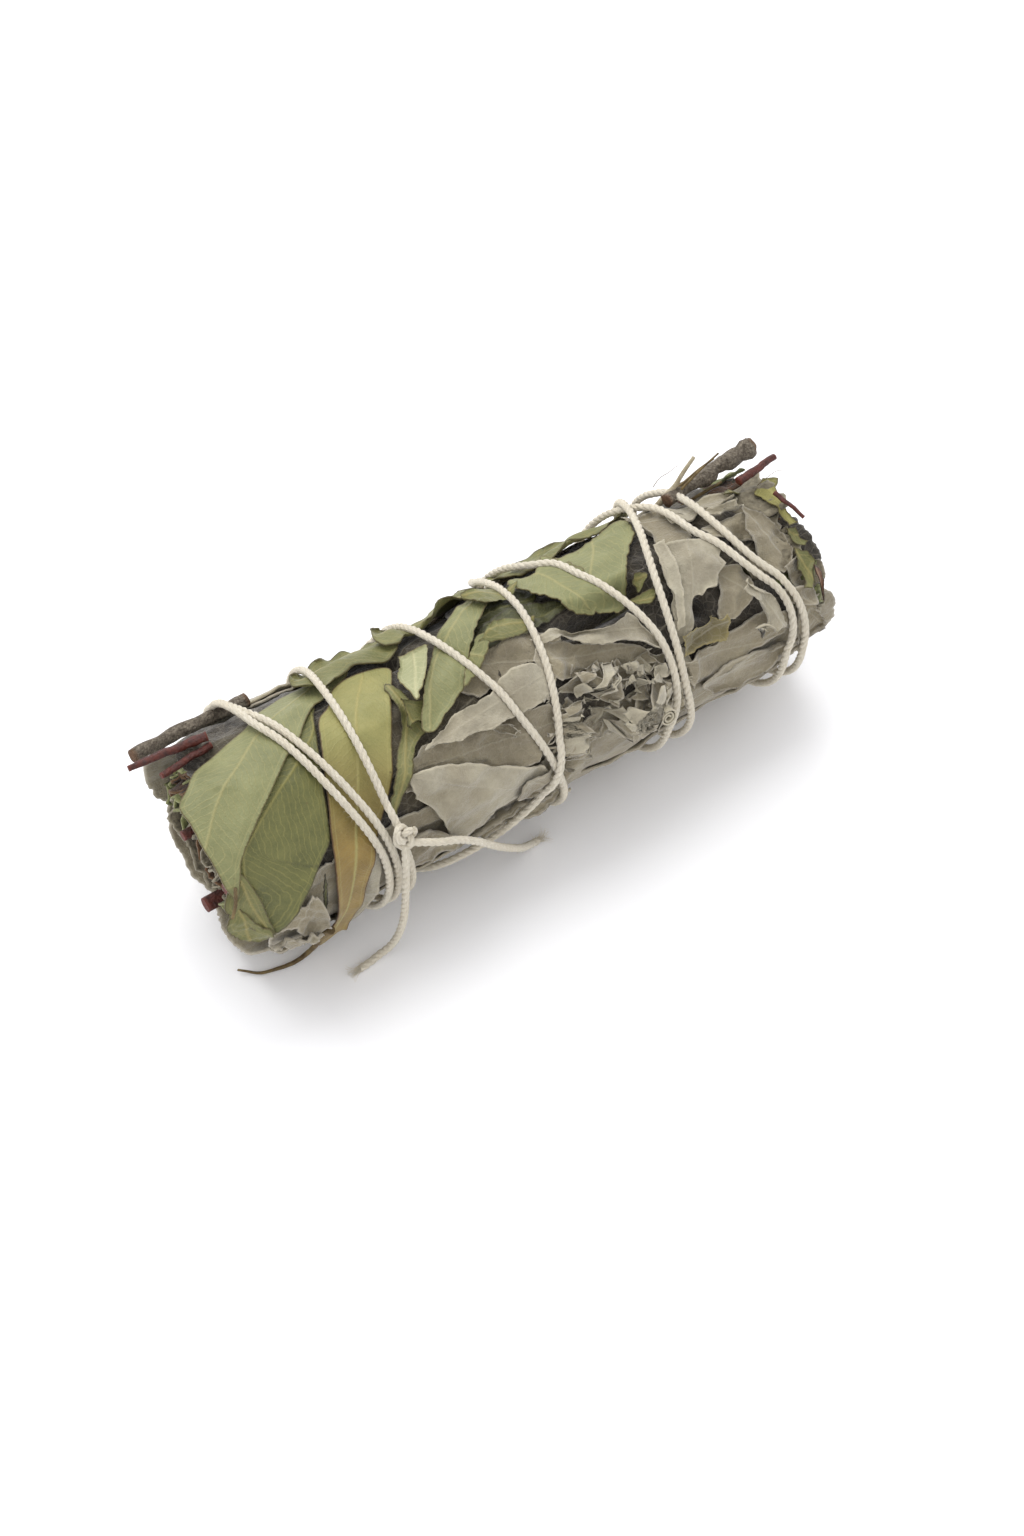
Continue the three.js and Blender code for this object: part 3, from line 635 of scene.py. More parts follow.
dry = Finish("rolled_leaf", roughness=0.85, sheen_weight=0.15)
dry_colour = dry.mix(dry.noise(1.4), (86, 80, 60), (134, 128, 104))
dry_colour = dry.mix(dry.math("MULTIPLY", dry.noise(6), 0.7), dry_colour, (112, 116, 76))
dry_colour = dry.mix(dry.math("MULTIPLY", dry.value("cut_edge"), 0.5), dry_colour, (170, 162, 128))
dry.bump(dry.noise(0.5), 0.12)
dry.colour(dry_colour)

stem_wood = Finish("red_stem", roughness=0.55)
stem_colour = stem_wood.mix(stem_wood.noise(0.9), (50, 22, 16), (92, 42, 30))
stem_colour = stem_wood.mix(
    stem_wood.math("MULTIPLY", stem_wood.value("cut_face"), 0.75),
    stem_colour, (112, 52, 38),
)
stem_wood.bump(stem_wood.noise(0.35), 0.12)
stem_wood.colour(stem_colour)


def limb(points, radii, lumps, lump_size, seed, sides=18):
    """A round woody stick along a line of points, uneven, with flat broken ends."""
    points = np.asarray(points, float)
    along = np.gradient(points, axis=0)
    along /= np.linalg.norm(along, axis=1, keepdims=True)
    first = np.cross(along, (0.13, 0.2, 1.0))
    first /= np.linalg.norm(first, axis=1, keepdims=True)
    second = np.cross(along, first)
    turn = np.linspace(0, 2 * math.pi, sides, endpoint=False)
    run = np.r_[0, np.cumsum(np.linalg.norm(np.diff(points, axis=0), axis=1))]
    wave = rough(run[:, None] + 0 * turn, 3 * np.cos(turn) + 20, lump_size, seed)
    wave = wave + rough(run[:, None] + 0 * turn, 3 * np.sin(turn) + 50, lump_size, seed + 1) - 1
    radius = np.asarray(radii)[:, None] * (1 + lumps * wave)
    rings = points[:, None] + radius[..., None] * (
        np.cos(turn)[None, :, None] * first[:, None] + np.sin(turn)[None, :, None] * second[:, None])
    vertices = [rings.reshape(-1, 3)]
    faces = []
    count = len(points)
    for i in range(count - 1):
        for j in range(sides):
            k = (j + 1) % sides
            faces.append((i * sides + j, (i + 1) * sides + j, (i + 1) * sides + k, i * sides + k))
    cut = np.zeros(count * sides + 2)
    cut[:sides] = 1
    cut[(count - 1) * sides:] = 1
    start = count * sides
    jag = 0.35 * np.asarray(radii)[0]
    vertices.append((points[0] + jag * along[0])[None])
    vertices.append((points[-1] - jag * along[-1])[None])
    faces += [(start, j, (j + 1) % sides) for j in range(sides)]
    last = (count - 1) * sides
    faces += [(start + 1, last + (j + 1) % sides, last + j) for j in range(sides)]
    vertices = np.concatenate(vertices)
    return vertices, faces, cut


def limb_object(name, limbs, material):
    """One mesh object for several sticks."""
    return shells_object(name, limbs, material, cut_face=[one[2] for one in limbs])


def end_samples(left, right):
    """Places along the bunch, close together near its ends, where it shows."""
    near = np.r_[0, 0.5, 1, 1.6, 2.3, 3, 4, 5.5, 8, 14]
    return np.r_[left + near, 0, (right - near)[::-1]]


roll_middles = [(0.0, 0.0)]
roll_middles += [
    (ROLL_PITCH * math.cos(i * math.pi / 3), ROLL_PITCH * math.sin(i * math.pi / 3))
    for i in range(6)
]
for index, (roll_y, roll_z) in enumerate(roll_middles):
    left = -PACK_HALF_LENGTH - math.sin(2 * index)
    right = PACK_HALF_LENGTH - math.cos(3 * index)
    along = end_samples(left, right)
    share = np.linspace(0, 1, 80)
    turn = (share * ROLL_TURNS + 0.37 * index) * 2 * math.pi
    radius = ROLL_INSIDE + (ROLL_OUTSIDE - ROLL_INSIDE) * share
    wave = rough(turn[None] * 1.3 + 0 * along[:, None], along[:, None] / 3, 1.0, 40 + index)
    wave = 1 + 0.28 * (wave - 0.5)
    torn_ends = 2.4 * (rough(turn[None] * 2, index, 1.0, 50 + index) - 0.5)
    ragged = np.where(np.abs(along[:, None]) > 40, torn_ends, 0)
    points = np.stack([
        along[:, None] + ragged,
        roll_y + radius * wave * np.cos(turn),
        PACK_HEIGHT + roll_z + radius * wave * np.sin(turn),
    ], -1)
    shell = sheet_shell(points, 0.42)
    cut = np.zeros(points.shape[:2])
    cut[0] = 1
    cut[-1] = 1
    roll = shells_object(
        f"rolled_leaf_{index + 1}", [shell], dry.material, cut_edge=[cut.ravel(), cut.ravel()],
    )
    roll.data.validate()
    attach(roll, "root")
    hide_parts(f"rolled_inner_leaf_{index + 1}")

for index, (angle, distance, radius, left) in enumerate(INNER_STEMS):
    y = distance * math.cos(math.radians(angle))
    z = PACK_HEIGHT + distance * math.sin(math.radians(angle))
    along = end_samples(left, PACK_HALF_LENGTH - 1 + 0.8 * index)
    radii = np.interp(along, (-52, 50), (radius, radius * 0.9))
    stem = limb_object(f"cut_stem_{index + 1}", [limb([(x, y, z) for x in along], radii, 0.12, 2.0, index)],
                       stem_wood.material)
    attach(stem, "root")
    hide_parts(f"inner_stem_{index + 1}")


# The crumpled leaf ends
# The cut ends of the many thin leaves between the rolls and the outer wrap, standing on edge in wavy rings,
# some grey, some green and some brown. They are pressed together and held by the string.
ENDS_INNER = 3.2
ENDS_OUTER = 14.4
ENDS_SPACING = 1.15
ENDS_DEPTH = 9.0
ENDS_RISE = 0.6


def end_finish(name, dark, light, edge):
    made = Finish(name, roughness=0.85, sheen_weight=0.15)
    tint = made.mix(made.noise(1.1), dark, light)
    tint = made.mix(made.math("MULTIPLY", made.value("cut_edge"), 0.65), tint, edge)
    made.bump(made.noise(0.4), 0.1)
    return made.colour(tint)


END_FINISHES = [
    ("grey", end_finish("grey_leaf_end", (76, 70, 56), (132, 124, 104), (168, 160, 138))),
    ("green", end_finish("green_leaf_end", (62, 66, 34), (118, 122, 76), (152, 154, 104))),
    ("brown", end_finish("brown_leaf_end", (40, 27, 17), (84, 58, 36), (122, 92, 60))),
]
END_SHARES = (0.36, 0.34, 0.30)


def end_strips(end):
    """The wavy leaf edges at one end, as shells and cut-edge numbers for each finish."""
    random = np.random.default_rng(70 + int(end > 0))
    found = {name: ([], []) for name, material in END_FINISHES}
    for ring_number, distance in enumerate(np.arange(ENDS_INNER, ENDS_OUTER, ENDS_SPACING)):
        turn_at = random.uniform(0, 2 * math.pi)
        turned = 0.0
        while turned < 2 * math.pi:
            arc = random.uniform(4.5, 11) / distance
            kind = END_FINISHES[random.choice(3, p=END_SHARES)][0]
            turn = turn_at + turned + np.linspace(0, arc, max(6, int(arc * distance / 0.45)))
            reach = random.uniform(-1.2, 2.6) - 0.06 * distance
            depth = np.linspace(0, ENDS_DEPTH, 12) ** 1.25 / ENDS_DEPTH**0.25
            seed = int(random.integers(1000))
            wave = 2.6 * (rough(turn[:, None] * distance + 0 * depth, depth / 2.5, 1.7, seed, 2) - 0.5)
            wave *= 1 - 0.5 * depth / ENDS_DEPTH
            rag = 3.4 * (rough(turn * distance, ring_number, 1.3, seed + 1, 3) - 0.5)
            radius = np.clip(distance + wave, 1.0, ENDS_OUTER + 0.3)
            x = (50.0 + reach + rag[:, None] * (1 - depth / ENDS_DEPTH) - depth) * end
            y = radius * np.cos(turn)[:, None]
            z = PACK_HEIGHT + ENDS_RISE + radius * np.sin(turn)[:, None]
            points = np.stack([x, y, z], -1)
            cut = np.zeros(points.shape[:2])
            cut[:, 0] = 1
            found[kind][0].append(sheet_shell(points, 0.3))
            found[kind][1].append(np.tile(cut.ravel(), 2))
            turned += arc * random.uniform(0.8, 1.1)
    return found


for end, place in ((-1, "left"), (1, "right")):
    strips = end_strips(end)
    for name, material in END_FINISHES:
        piece = shells_object(
            f"{name}_leaf_ends_{place}", strips[name][0], material, cut_edge=strips[name][1],
        )
        piece.data.validate()
        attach(piece, "root")


# The leaves' finishes
# Sage leaves are soft and suede-like, warm grey, with pale thin edges. Eucalyptus leaves are smooth and
# thin, green to mustard, with a pale midrib, slanting side veins, a vein near the edge, brown specks and a
# darker rim.


def sage_finish(name, dark, light, edge=(186, 178, 160)):
    """Dry white sage. Each leaf's mesh holds how far a point is from its edge and from its rib, in mm."""
    made = Finish(name, roughness=0.88, sheen_weight=0.35, sheen_roughness=0.5)
    tint = made.mix(made.noise(5.0), dark, light)
    tint = made.mix(made.math("MULTIPLY", made.noise(0.9, 0.35, 0.65), 0.22), tint, (112, 104, 88))
    tint = made.mix(made.math("MULTIPLY", made.noise(11, 0.5, 0.75), 0.35), tint, (148, 136, 104))
    veins = made.net(1.5, 0.07)
    tint = made.mix(made.math("MULTIPLY", veins, 0.16), tint, (176, 168, 150))
    rib = made.line(made.value("rib_side"), 0.30)
    tint = made.mix(made.math("MULTIPLY", rib, 0.35), tint, (176, 168, 146))
    rim = made.spread(made.value("edge_gap"), 0.42, 0.05)
    tint = made.mix(made.math("MULTIPLY", rim, 0.55), tint, edge)
    grain = made.math("ADD", made.noise(0.22), made.math("MULTIPLY", made.noise(0.7), 1.2))
    made.bump(made.math("ADD", grain, made.math("MULTIPLY", rib, 1.2)), 0.07)
    return made.colour(tint)


def eucalyptus_finish(name, dark, light, vein, rim, side_veins=0.5, tip=None):
    """Dry eucalyptus, with its veins drawn from each point's place along and beside the leaf's rib.

    A tip is two more colours, and where along the rib the leaf begins and ends to turn to them, in mm.
    """
    made = Finish(name, roughness=0.55, sheen_weight=0.08)
    along = made.value("rib_run")
    beside = made.math("ABSOLUTE", made.value("rib_side"))
    edge = made.value("edge_gap")
    tint = made.mix(made.noise(4.5), dark, light)
    tint = made.mix(made.math("MULTIPLY", made.noise(1.2, 0.35, 0.65), 0.18), tint, vein)
    if tip:
        tip_dark, tip_light, tip_from, tip_to = tip
        tip_tint = made.mix(made.noise(3), tip_dark, tip_light)
        tint = made.mix(made.spread(along, tip_from, tip_to), tint, tip_tint)
    slant = made.math("SUBTRACT", along, made.math("MULTIPLY", beside, 0.95))
    slant = made.math("ADD", slant, made.math("MULTIPLY", made.noise(2.6), 0.8))
    saw = made.math("SUBTRACT", made.math("FRACT", made.math("DIVIDE", slant, 1.25)), 0.5)
    laterals = made.line(saw, 0.13)
    tint = made.mix(made.math("MULTIPLY", laterals, side_veins), tint, vein)
    fine = made.net(0.55, 0.09)
    tint = made.mix(made.math("MULTIPLY", fine, 0.16), tint, vein)
    rib = made.line(beside, 0.36)
    tint = made.mix(rib, tint, vein)
    margin = made.line(made.math("SUBTRACT", edge, 0.75), 0.13)
    tint = made.mix(made.math("MULTIPLY", margin, 0.45), tint, vein)
    specks = made.math("MULTIPLY", made.spots(2.6, 0.24), made.noise(5, 0.5, 0.6))
    tint = made.mix(made.math("MULTIPLY", specks, 0.8), tint, (92, 80, 46))
    tint = made.mix(made.math("MULTIPLY", made.spread(edge, 0.26, 0.08), 0.8), tint, rim)
    height = made.math("ADD", made.math("MULTIPLY", laterals, 0.6), made.math("MULTIPLY", rib, 1.6))
    height = made.math("ADD", height, made.math("MULTIPLY", fine, 0.3))
    made.bump(made.math("ADD", height, made.math("MULTIPLY", made.noise(0.4), 0.5)), 0.06)
    return made.colour(tint)


SAGE_MID = sage_finish("sage_mid", (123, 114, 94), (147, 138, 115))
SAGE_PALE = sage_finish("sage_pale", (145, 137, 118), (170, 163, 142), (198, 189, 164))
# Near-black sage whose colour is painted shade, for the wrap leaves that show only in the gaps between the
# front leaves.
SAGE_PAINTED_SHADE = sage_finish("sage_painted_shade", (30, 26, 20), (50, 44, 34), (70, 62, 48))
SAGE_OLIVE = sage_finish("sage_olive", (103, 94, 62), (129, 119, 78), (164, 149, 96))
GREEN_PALE = eucalyptus_finish(
    "eucalyptus_pale", (107, 110, 71), (125, 127, 85), (146, 141, 94), (95, 83, 48),
)
GREEN_DARK = eucalyptus_finish(
    "eucalyptus_dark", (77, 80, 40), (99, 100, 54), (128, 123, 68), (72, 65, 31), side_veins=0.6,
)
GREEN_MID = eucalyptus_finish(
    "eucalyptus_mid", (87, 89, 49), (110, 111, 66), (137, 128, 77), (77, 68, 34), side_veins=0.4,
)
GREEN_WHITE = eucalyptus_finish(
    "eucalyptus_white", (134, 138, 100), (155, 156, 117), (179, 176, 135), (122, 111, 71), side_veins=0.5,
)
# Near-black eucalyptus whose colour is painted shade, for leaves that lie deep in the gaps.
GREEN_PAINTED_SHADE = eucalyptus_finish(
    "eucalyptus_painted_shade", (45, 46, 22), (69, 71, 37), (89, 88, 48), (45, 38, 20), side_veins=0.3,
)
OLIVE_END = eucalyptus_finish(
    "eucalyptus_olive", (92, 90, 40), (132, 126, 64), (150, 144, 84), (84, 72, 36), side_veins=0.3,
)
BROWN_END = eucalyptus_finish(
    "eucalyptus_brown", (64, 40, 24), (104, 66, 38), (128, 92, 58), (48, 32, 20), side_veins=0.3,
)
YELLOW = eucalyptus_finish(
    "eucalyptus_yellow", (124, 123, 71), (143, 138, 83), (154, 145, 88), (73, 45, 24), side_veins=0.12,
    tip=((115, 93, 43), (138, 114, 58), 13, 30),
)


# The wrap, the underside and the back
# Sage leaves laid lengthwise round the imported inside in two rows, folded ones pressed flat where it lies,
# and three on the back. Each lies on what is there already: the pile's height is kept on a grid along and
# round the bundle.
GRID_START = -64.0
GRID_STEP = 0.25
GRID_COLUMNS = 513
GRID_TURN = 0.75
GRID_ROWS = 480
ARC = math.radians(1) * 18.0
LAY_GAP = 0.05
STRING_PRESS = 0.28
PILE_BASE = -2.35
RIGHT_DROP = 1.3
RIGHT_DROP_PLACE = (42, 47)
HIGHEST_LEAF = 4.3
ROOF_REACH = 6
ROOF_HALF_WIDTH = 0.58
ROOF_SLOPE = 0.7
ROOF_SLOPE_START = 0.5
# Deep dark gaps in the packing: x, angle, half sizes along and round in mm, and depth in mm.
GAPS = [
    (-15.5, -23, 2.2, 1.4, 3.0), (15.0, 14, 7.5, 1.9, 4.2), (21.0, 12, 3.5, 1.8, 3.5),
    (21.0, -34, 6.5, 1.2, 3.0), (29.6, 39, 1.4, 2.0, 4.0), (41.2, 12, 1.6, 1.5, 4.0),
    (40.5, 33, 1.9, 1.9, 3.5), (36.0, -6, 1.4, 1.2, 2.0), (-35.5, 96, 1.0, 6.0, 2.5),
    (-12.5, 91, 1.6, 1.2, 2.0), (22.6, 60, 1.4, 2.0, 2.5), (-49.0, -16, 3.5, 4.0, 2.6),
    (-10.0, 46, 1.4, 1.0, 1.5), (47.5, 20, 1.2, 1.5, 2.0),
]

grid_x = GRID_START + GRID_STEP * np.arange(GRID_COLUMNS)
grid_angle = GRID_TURN * np.arange(GRID_ROWS)
cell_x, cell_angle = np.meshgrid(grid_x, grid_angle, indexing="ij")
near_angle = (cell_angle + 180) % 360 - 180
pile = PILE_BASE + 0.9 * rough(cell_x, 30 * np.cos(np.radians(cell_angle)) + 90, 5, 3)
pile += 0.9 * rough(cell_x, 30 * np.sin(np.radians(cell_angle)) + 190, 5, 4) - 0.9
pile -= RIGHT_DROP * smooth_step(cell_x, *RIGHT_DROP_PLACE)
for gap_x, gap_angle, half_x, half_arc, gap_depth in GAPS:
    across = ((cell_x - gap_x) / half_x) ** 2 + ((near_angle - gap_angle) * ARC / half_arc) ** 2
    pile -= gap_depth * np.exp(-(across**1.5))

# The most that the leaves may rise: to the string's underside, and nowhere far above the bunch.
limit = np.full(pile.shape, HIGHEST_LEAF)
for x, angle, depth in zip(route_x, route_angle, route_depth):
    first_column = max(0, int((x - ROOF_REACH - GRID_START) / GRID_STEP))
    end_column = min(GRID_COLUMNS, int((x + ROOF_REACH - GRID_START) / GRID_STEP))
    columns = np.arange(first_column, end_column)
    rows = np.arange(int((angle - 20) / GRID_TURN), int((angle + 20) / GRID_TURN)) % GRID_ROWS
    turned = (grid_angle[rows] - angle + 180) % 360 - 180
    away = np.hypot(grid_x[columns][:, None] - x, turned[None] * ARC)
    under_string = np.sqrt((STRING_DIAMETER / 2) ** 2 - np.minimum(away, ROOF_HALF_WIDTH) ** 2)
    roof = depth - under_string + ROOF_SLOPE * np.maximum(0, away - ROOF_SLOPE_START)
    block = np.ix_(columns, rows)
    limit[block] = np.minimum(limit[block], roof)
sunk = np.minimum(np.cos(np.radians(cell_angle)), -0.02)
table_limit = (bundle_radius(cell_x) + AXIS_CLEARANCE - 0.08) / -sunk - bundle_radius(cell_x)
limit = np.minimum(limit, table_limit)


def sample(field, x, angle):
    """The value of a grid field between its cells."""
    i = np.clip((x - GRID_START) / GRID_STEP, 0, GRID_COLUMNS - 1.001)
    j = (angle / GRID_TURN) % GRID_ROWS
    i0 = np.floor(i).astype(int)
    j0 = np.floor(j).astype(int)
    a = i - i0
    b = j - j0
    j1 = (j0 + 1) % GRID_ROWS
    j0 = j0 % GRID_ROWS
    return ((field[i0, j0] * (1 - a) + field[i0 + 1, j0] * a) * (1 - b)
            + (field[i0, j1] * (1 - a) + field[i0 + 1, j1] * a) * b)


def settled(x, angle, height):
    """Places in millimetres of leaf points, pressed under the string and kept above the table."""
    room_left = (sample(limit, x, angle) - height) / STRING_PRESS
    pressed = height + STRING_PRESS * room_left - STRING_PRESS * np.logaddexp(0, room_left)
    return on_bundle(x, angle, pressed)


def softened(field, reach):
    """A field blurred over this many cells each way."""
    for axis in (0, 1):
        pads = [(reach + 1, reach) if a == axis else (0, 0) for a in (0, 1)]
        total = np.cumsum(np.pad(field, pads, mode="edge"), axis)
        width = 2 * reach + 1
        count = total.shape[axis]
        after = np.take(total, range(width, count), axis)
        before = np.take(total, range(count - width), axis)
        field = (after - before) / width
    return field


def blade(base, tip, width, blunt=False, bow=0.0):
    """The outline of a whole leaf between two places [x, angle], as points [x, angle]."""
    start = np.array([base[0], base[1] * ARC])
    end = np.array([tip[0], tip[1] * ARC])
    along = end - start
    length = np.hypot(*along)
    along /= length
    beside = np.array([-along[1], along[0]])
    share = np.linspace(0, 1, 9)
    if blunt:
        half = width / 2 * (1 - 0.25 * np.abs(2 * share - 1) ** 4)
    else:
        half = width / 2 * np.maximum(0.1, np.sin(math.pi * share**0.85) ** 0.7)
    middle = start + share[:, None] * along * length + (bow * np.sin(math.pi * share))[:, None] * beside
    ring = np.concatenate([middle + half[:, None] * beside, (middle - half[:, None] * beside)[::-1]])
    return [(x, s / ARC) for x, s in ring]


TILT_SINK = 0.3


def leaf_shell(
    outline, thickness=0.42, crumple=0.5, crumple_size=3.0, curl=1.4, curl_width=1.1, tear=0.25,
    tear_size=1.2, stiff=2, rounds=5, rise=0.0, bumps=(), tilt=(0, 0), rib=None, seed=0, spacing=0.42,
    grain=None, sharp=False,
):
    """A leaf with this outline of [x, angle], laid on the pile and added to it.

    It gives the shell's vertices, faces and three numbers for each vertex: its run along the rib, its
    distance beside it and its gap to the nearest edge, in mm. Bumps are [x, angle, reach along, reach
    round, height].
    """
    # The outline, torn inwards by a little
    flat = np.array([(x, angle * ARC) for x, angle in outline], float)
    turn_area = np.sum(flat[:, 0] * np.roll(flat[:, 1], -1) - np.roll(flat[:, 0], -1) * flat[:, 1])
    if turn_area < 0:
        flat = flat[::-1]
    if sharp:
        ring = flat
    else:
        ring = smooth_curve(np.vstack([flat[-2:], flat, flat[:2]]), 0.1)
        first = np.argmin(np.hypot(*(ring[:len(ring) // 3] - flat[0]).T))
        last = len(ring) - 1 - np.argmin(np.hypot(*(ring[::-1][:len(ring) // 3] - flat[0]).T))
        ring = ring[first:last]
    run = np.r_[0, np.cumsum(np.hypot(*np.diff(np.vstack([ring, ring[:1]]), axis=0).T))]
    count = max(12, int(run[-1] / (0.75 * spacing)))
    at = np.linspace(0, run[-1], count, endpoint=False)
    closed_ring = np.vstack([ring, ring[:1]])
    ring = np.stack([np.interp(at, run, closed_ring[:, 0]), np.interp(at, run, closed_ring[:, 1])], 1)
    tangent = np.roll(ring, -1, 0) - np.roll(ring, 1, 0)
    tangent /= np.maximum(np.hypot(*tangent.T), 1e-9)[:, None]
    inward = np.stack([-tangent[:, 1], tangent[:, 0]], 1)
    jag = rough(ring[:, 0] + 40, ring[:, 1] + 40, tear_size, seed + 5, 3)
    jag = np.maximum(0, 2 * np.abs(jag - 0.5) + 0.6 * (rough(ring[:, 0], ring[:, 1], 4, seed + 6, 1) - 0.5))
    ring = ring + inward * (2 * tear * jag)[:, None]

    # A mesh of triangles inside it
    low = ring.min(0)
    high = ring.max(0)
    columns = np.arange(low[0], high[0], spacing)
    rows = np.arange(low[1], high[1], spacing * 0.87)
    gx, gy = np.meshgrid(columns, rows, indexing="ij")
    gx = gx + np.where(np.arange(len(rows)) % 2, spacing / 2, 0)[None]
    inside = np.zeros(gx.shape, bool)
    for a, b in zip(ring, np.roll(ring, -1, 0)):
        if a[1] != b[1]:
            crosses = (a[1] > gy) != (b[1] > gy)
            inside ^= crosses & (gx < (b[0] - a[0]) * (gy - a[1]) / (b[1] - a[1]) + a[0])
    filling = np.stack([gx[inside], gy[inside]], 1)
    if len(filling):
        gap = np.sqrt(((filling[:, None] - ring[None]) ** 2).sum(2)).min(1)
        filling = filling[gap > 0.45 * spacing]
    flat_points = [Vector(p) for p in np.vstack([ring, filling])]
    points, edges, triangles, *rest = delaunay_2d_cdt(flat_points, [], [list(range(len(ring)))], 1, 1e-5)
    points = np.array([tuple(p) for p in points])
    triangles = np.array(triangles)

    # How far each point is from the edge and from the rib
    difference = points[:, None] - ring[None]
    distance = np.sqrt((difference**2).sum(2))
    nearest = distance.argmin(1)
    edge_gap = distance.min(1)
    inward = inward[nearest]
    if rib is None:
        rib = [outline[0], outline[len(outline) // 2]]
    line = smooth_curve([(x, angle * ARC) for x, angle in rib], 0.3)
    reach = np.sqrt(((points[:, None] - line[None]) ** 2).sum(2))
    spot = reach.argmin(1)
    line_way = np.gradient(line, axis=0)[spot]
    offset = points - line[spot]
    rib_side = np.sign(line_way[:, 0] * offset[:, 1] - line_way[:, 1] * offset[:, 0]) * reach.min(1)
    rib_run = spot * 0.3

    # How it drapes over what lies there
    column0 = max(0, int((low[0] - 3 - GRID_START) / GRID_STEP))
    column1 = min(GRID_COLUMNS, int((high[0] + 3 - GRID_START) / GRID_STEP) + 1)
    row0 = int(math.floor((low[1] / ARC - 8) / GRID_TURN))
    row1 = int(math.ceil((high[1] / ARC + 8) / GRID_TURN))
    row_numbers = np.arange(row0, row1)
    block = np.ix_(np.arange(column0, column1), row_numbers % GRID_ROWS)
    ground = pile[block] + LAY_GAP + thickness
    laid = ground.copy()
    for attempt in range(rounds):
        laid = np.maximum(ground, softened(laid, stiff))
    laid = softened(laid, 1)
    block_x = grid_x[column0:column1][:, None] + 0 * row_numbers[None]
    block_s = (row_numbers * GRID_TURN * ARC)[None] + 0 * block_x
    if grain:
        angle, stretch = math.radians(grain[0]), grain[1]
        noise_x = (block_x * math.cos(angle) + block_s * math.sin(angle)) / stretch
        noise_s = -block_x * math.sin(angle) + block_s * math.cos(angle)
    else:
        noise_x, noise_s = block_x, block_s
    laid += rise + crumple * (1.1 * creases(noise_x + 70, noise_s + 70, crumple_size, seed + 1) - 0.45)
    laid += 0.25 * crumple * rough(noise_x + 30, noise_s + 30, crumple_size / 3, seed + 2)
    for bump_x, bump_angle, reach_x, reach_s, bump_height in bumps:
        away = ((block_x - bump_x) / reach_x) ** 2 + ((block_s - bump_angle * ARC) / reach_s) ** 2
        laid += bump_height * np.exp(-away)
    middle = points.mean(0)
    slope = tilt[0] * (block_x - middle[0]) + tilt[1] * (block_s - middle[1])
    full_slope = abs(tilt[0]) * (high[0] - low[0]) + abs(tilt[1]) * (high[1] - low[1])
    laid += np.maximum(0, slope + 0.5 * full_slope - TILT_SINK)

    # Its edges curl up here and there
    strength = np.clip(2.2 * rough(ring[nearest, 0], ring[nearest, 1], 5, seed + 3, 2) - 0.7, 0, 1)
    zone = np.maximum(0, curl_width - edge_gap)
    bend = np.maximum(strength * abs(curl) / curl_width, 1e-6)
    moved = points + inward * (zone - np.sin(zone * bend) / bend)[:, None]
    lift = (1 - np.cos(zone * bend)) / bend * (1 if curl > 0 else -1)

    def block_sample(x, s):
        i = np.clip((x - grid_x[column0]) / GRID_STEP, 0, laid.shape[0] - 1.001)
        j = np.clip(s / ARC / GRID_TURN - row0, 0, laid.shape[1] - 1.001)
        i0 = i.astype(int)
        j0 = j.astype(int)
        a = i - i0
        b = j - j0
        return ((laid[i0, j0] * (1 - a) + laid[i0 + 1, j0] * a) * (1 - b)
                + (laid[i0, j0 + 1] * (1 - a) + laid[i0 + 1, j0 + 1] * a) * b)

    height = block_sample(moved[:, 0], moved[:, 1]) + lift
    angle = moved[:, 1] / ARC

    # The pile rises where it lies
    columns = np.round((moved[:, 0] - GRID_START) / GRID_STEP).astype(int)
    rows = np.round(angle / GRID_TURN).astype(int)
    for i in (-1, 0, 1):
        for j in (-1, 0, 1):
            at = (np.clip(columns + i, 0, GRID_COLUMNS - 1), (rows + j) % GRID_ROWS)
            np.maximum.at(pile, at, height - np.maximum(0, lift))

    # The closed shell
    top = settled(moved[:, 0], angle, height)
    under = settled(moved[:, 0], angle, height - thickness)
    number = len(points)
    pairs = np.sort(np.concatenate([triangles[:, [0, 1]], triangles[:, [1, 2]], triangles[:, [2, 0]]]), 1)
    directed = np.concatenate([triangles[:, [0, 1]], triangles[:, [1, 2]], triangles[:, [2, 0]]])
    keys, where, uses = np.unique(pairs, axis=0, return_index=True, return_counts=True)
    border = directed[where[uses == 1]]
    corner = points[triangles]
    turn_way = np.cross(corner[0, 1] - corner[0, 0], corner[0, 2] - corner[0, 0])
    if turn_way <= 0:
        triangles = triangles[:, ::-1]
        border = border[:, ::-1]
    walls = np.concatenate([border, border[:, ::-1] + number], 1)
    faces = triangles[:, ::-1].tolist() + (triangles + number).tolist() + walls.tolist()
    numbers = [np.tile(values, 2) for values in (rib_run, rib_side, edge_gap)]
    return np.concatenate([top, under]), faces, numbers


def leaf_piece(name, shells, material, slot, *nodes):
    """One object for one or more leaf shells, riding with the bunch."""
    kinds = ("rib_run", "rib_side", "edge_gap")
    numbers = {kind: [shell[2][index] for shell in shells] for index, kind in enumerate(kinds)}
    piece = shells_object(name, shells, material, **numbers)
    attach(piece, "root")
    if nodes:
        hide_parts(*nodes)


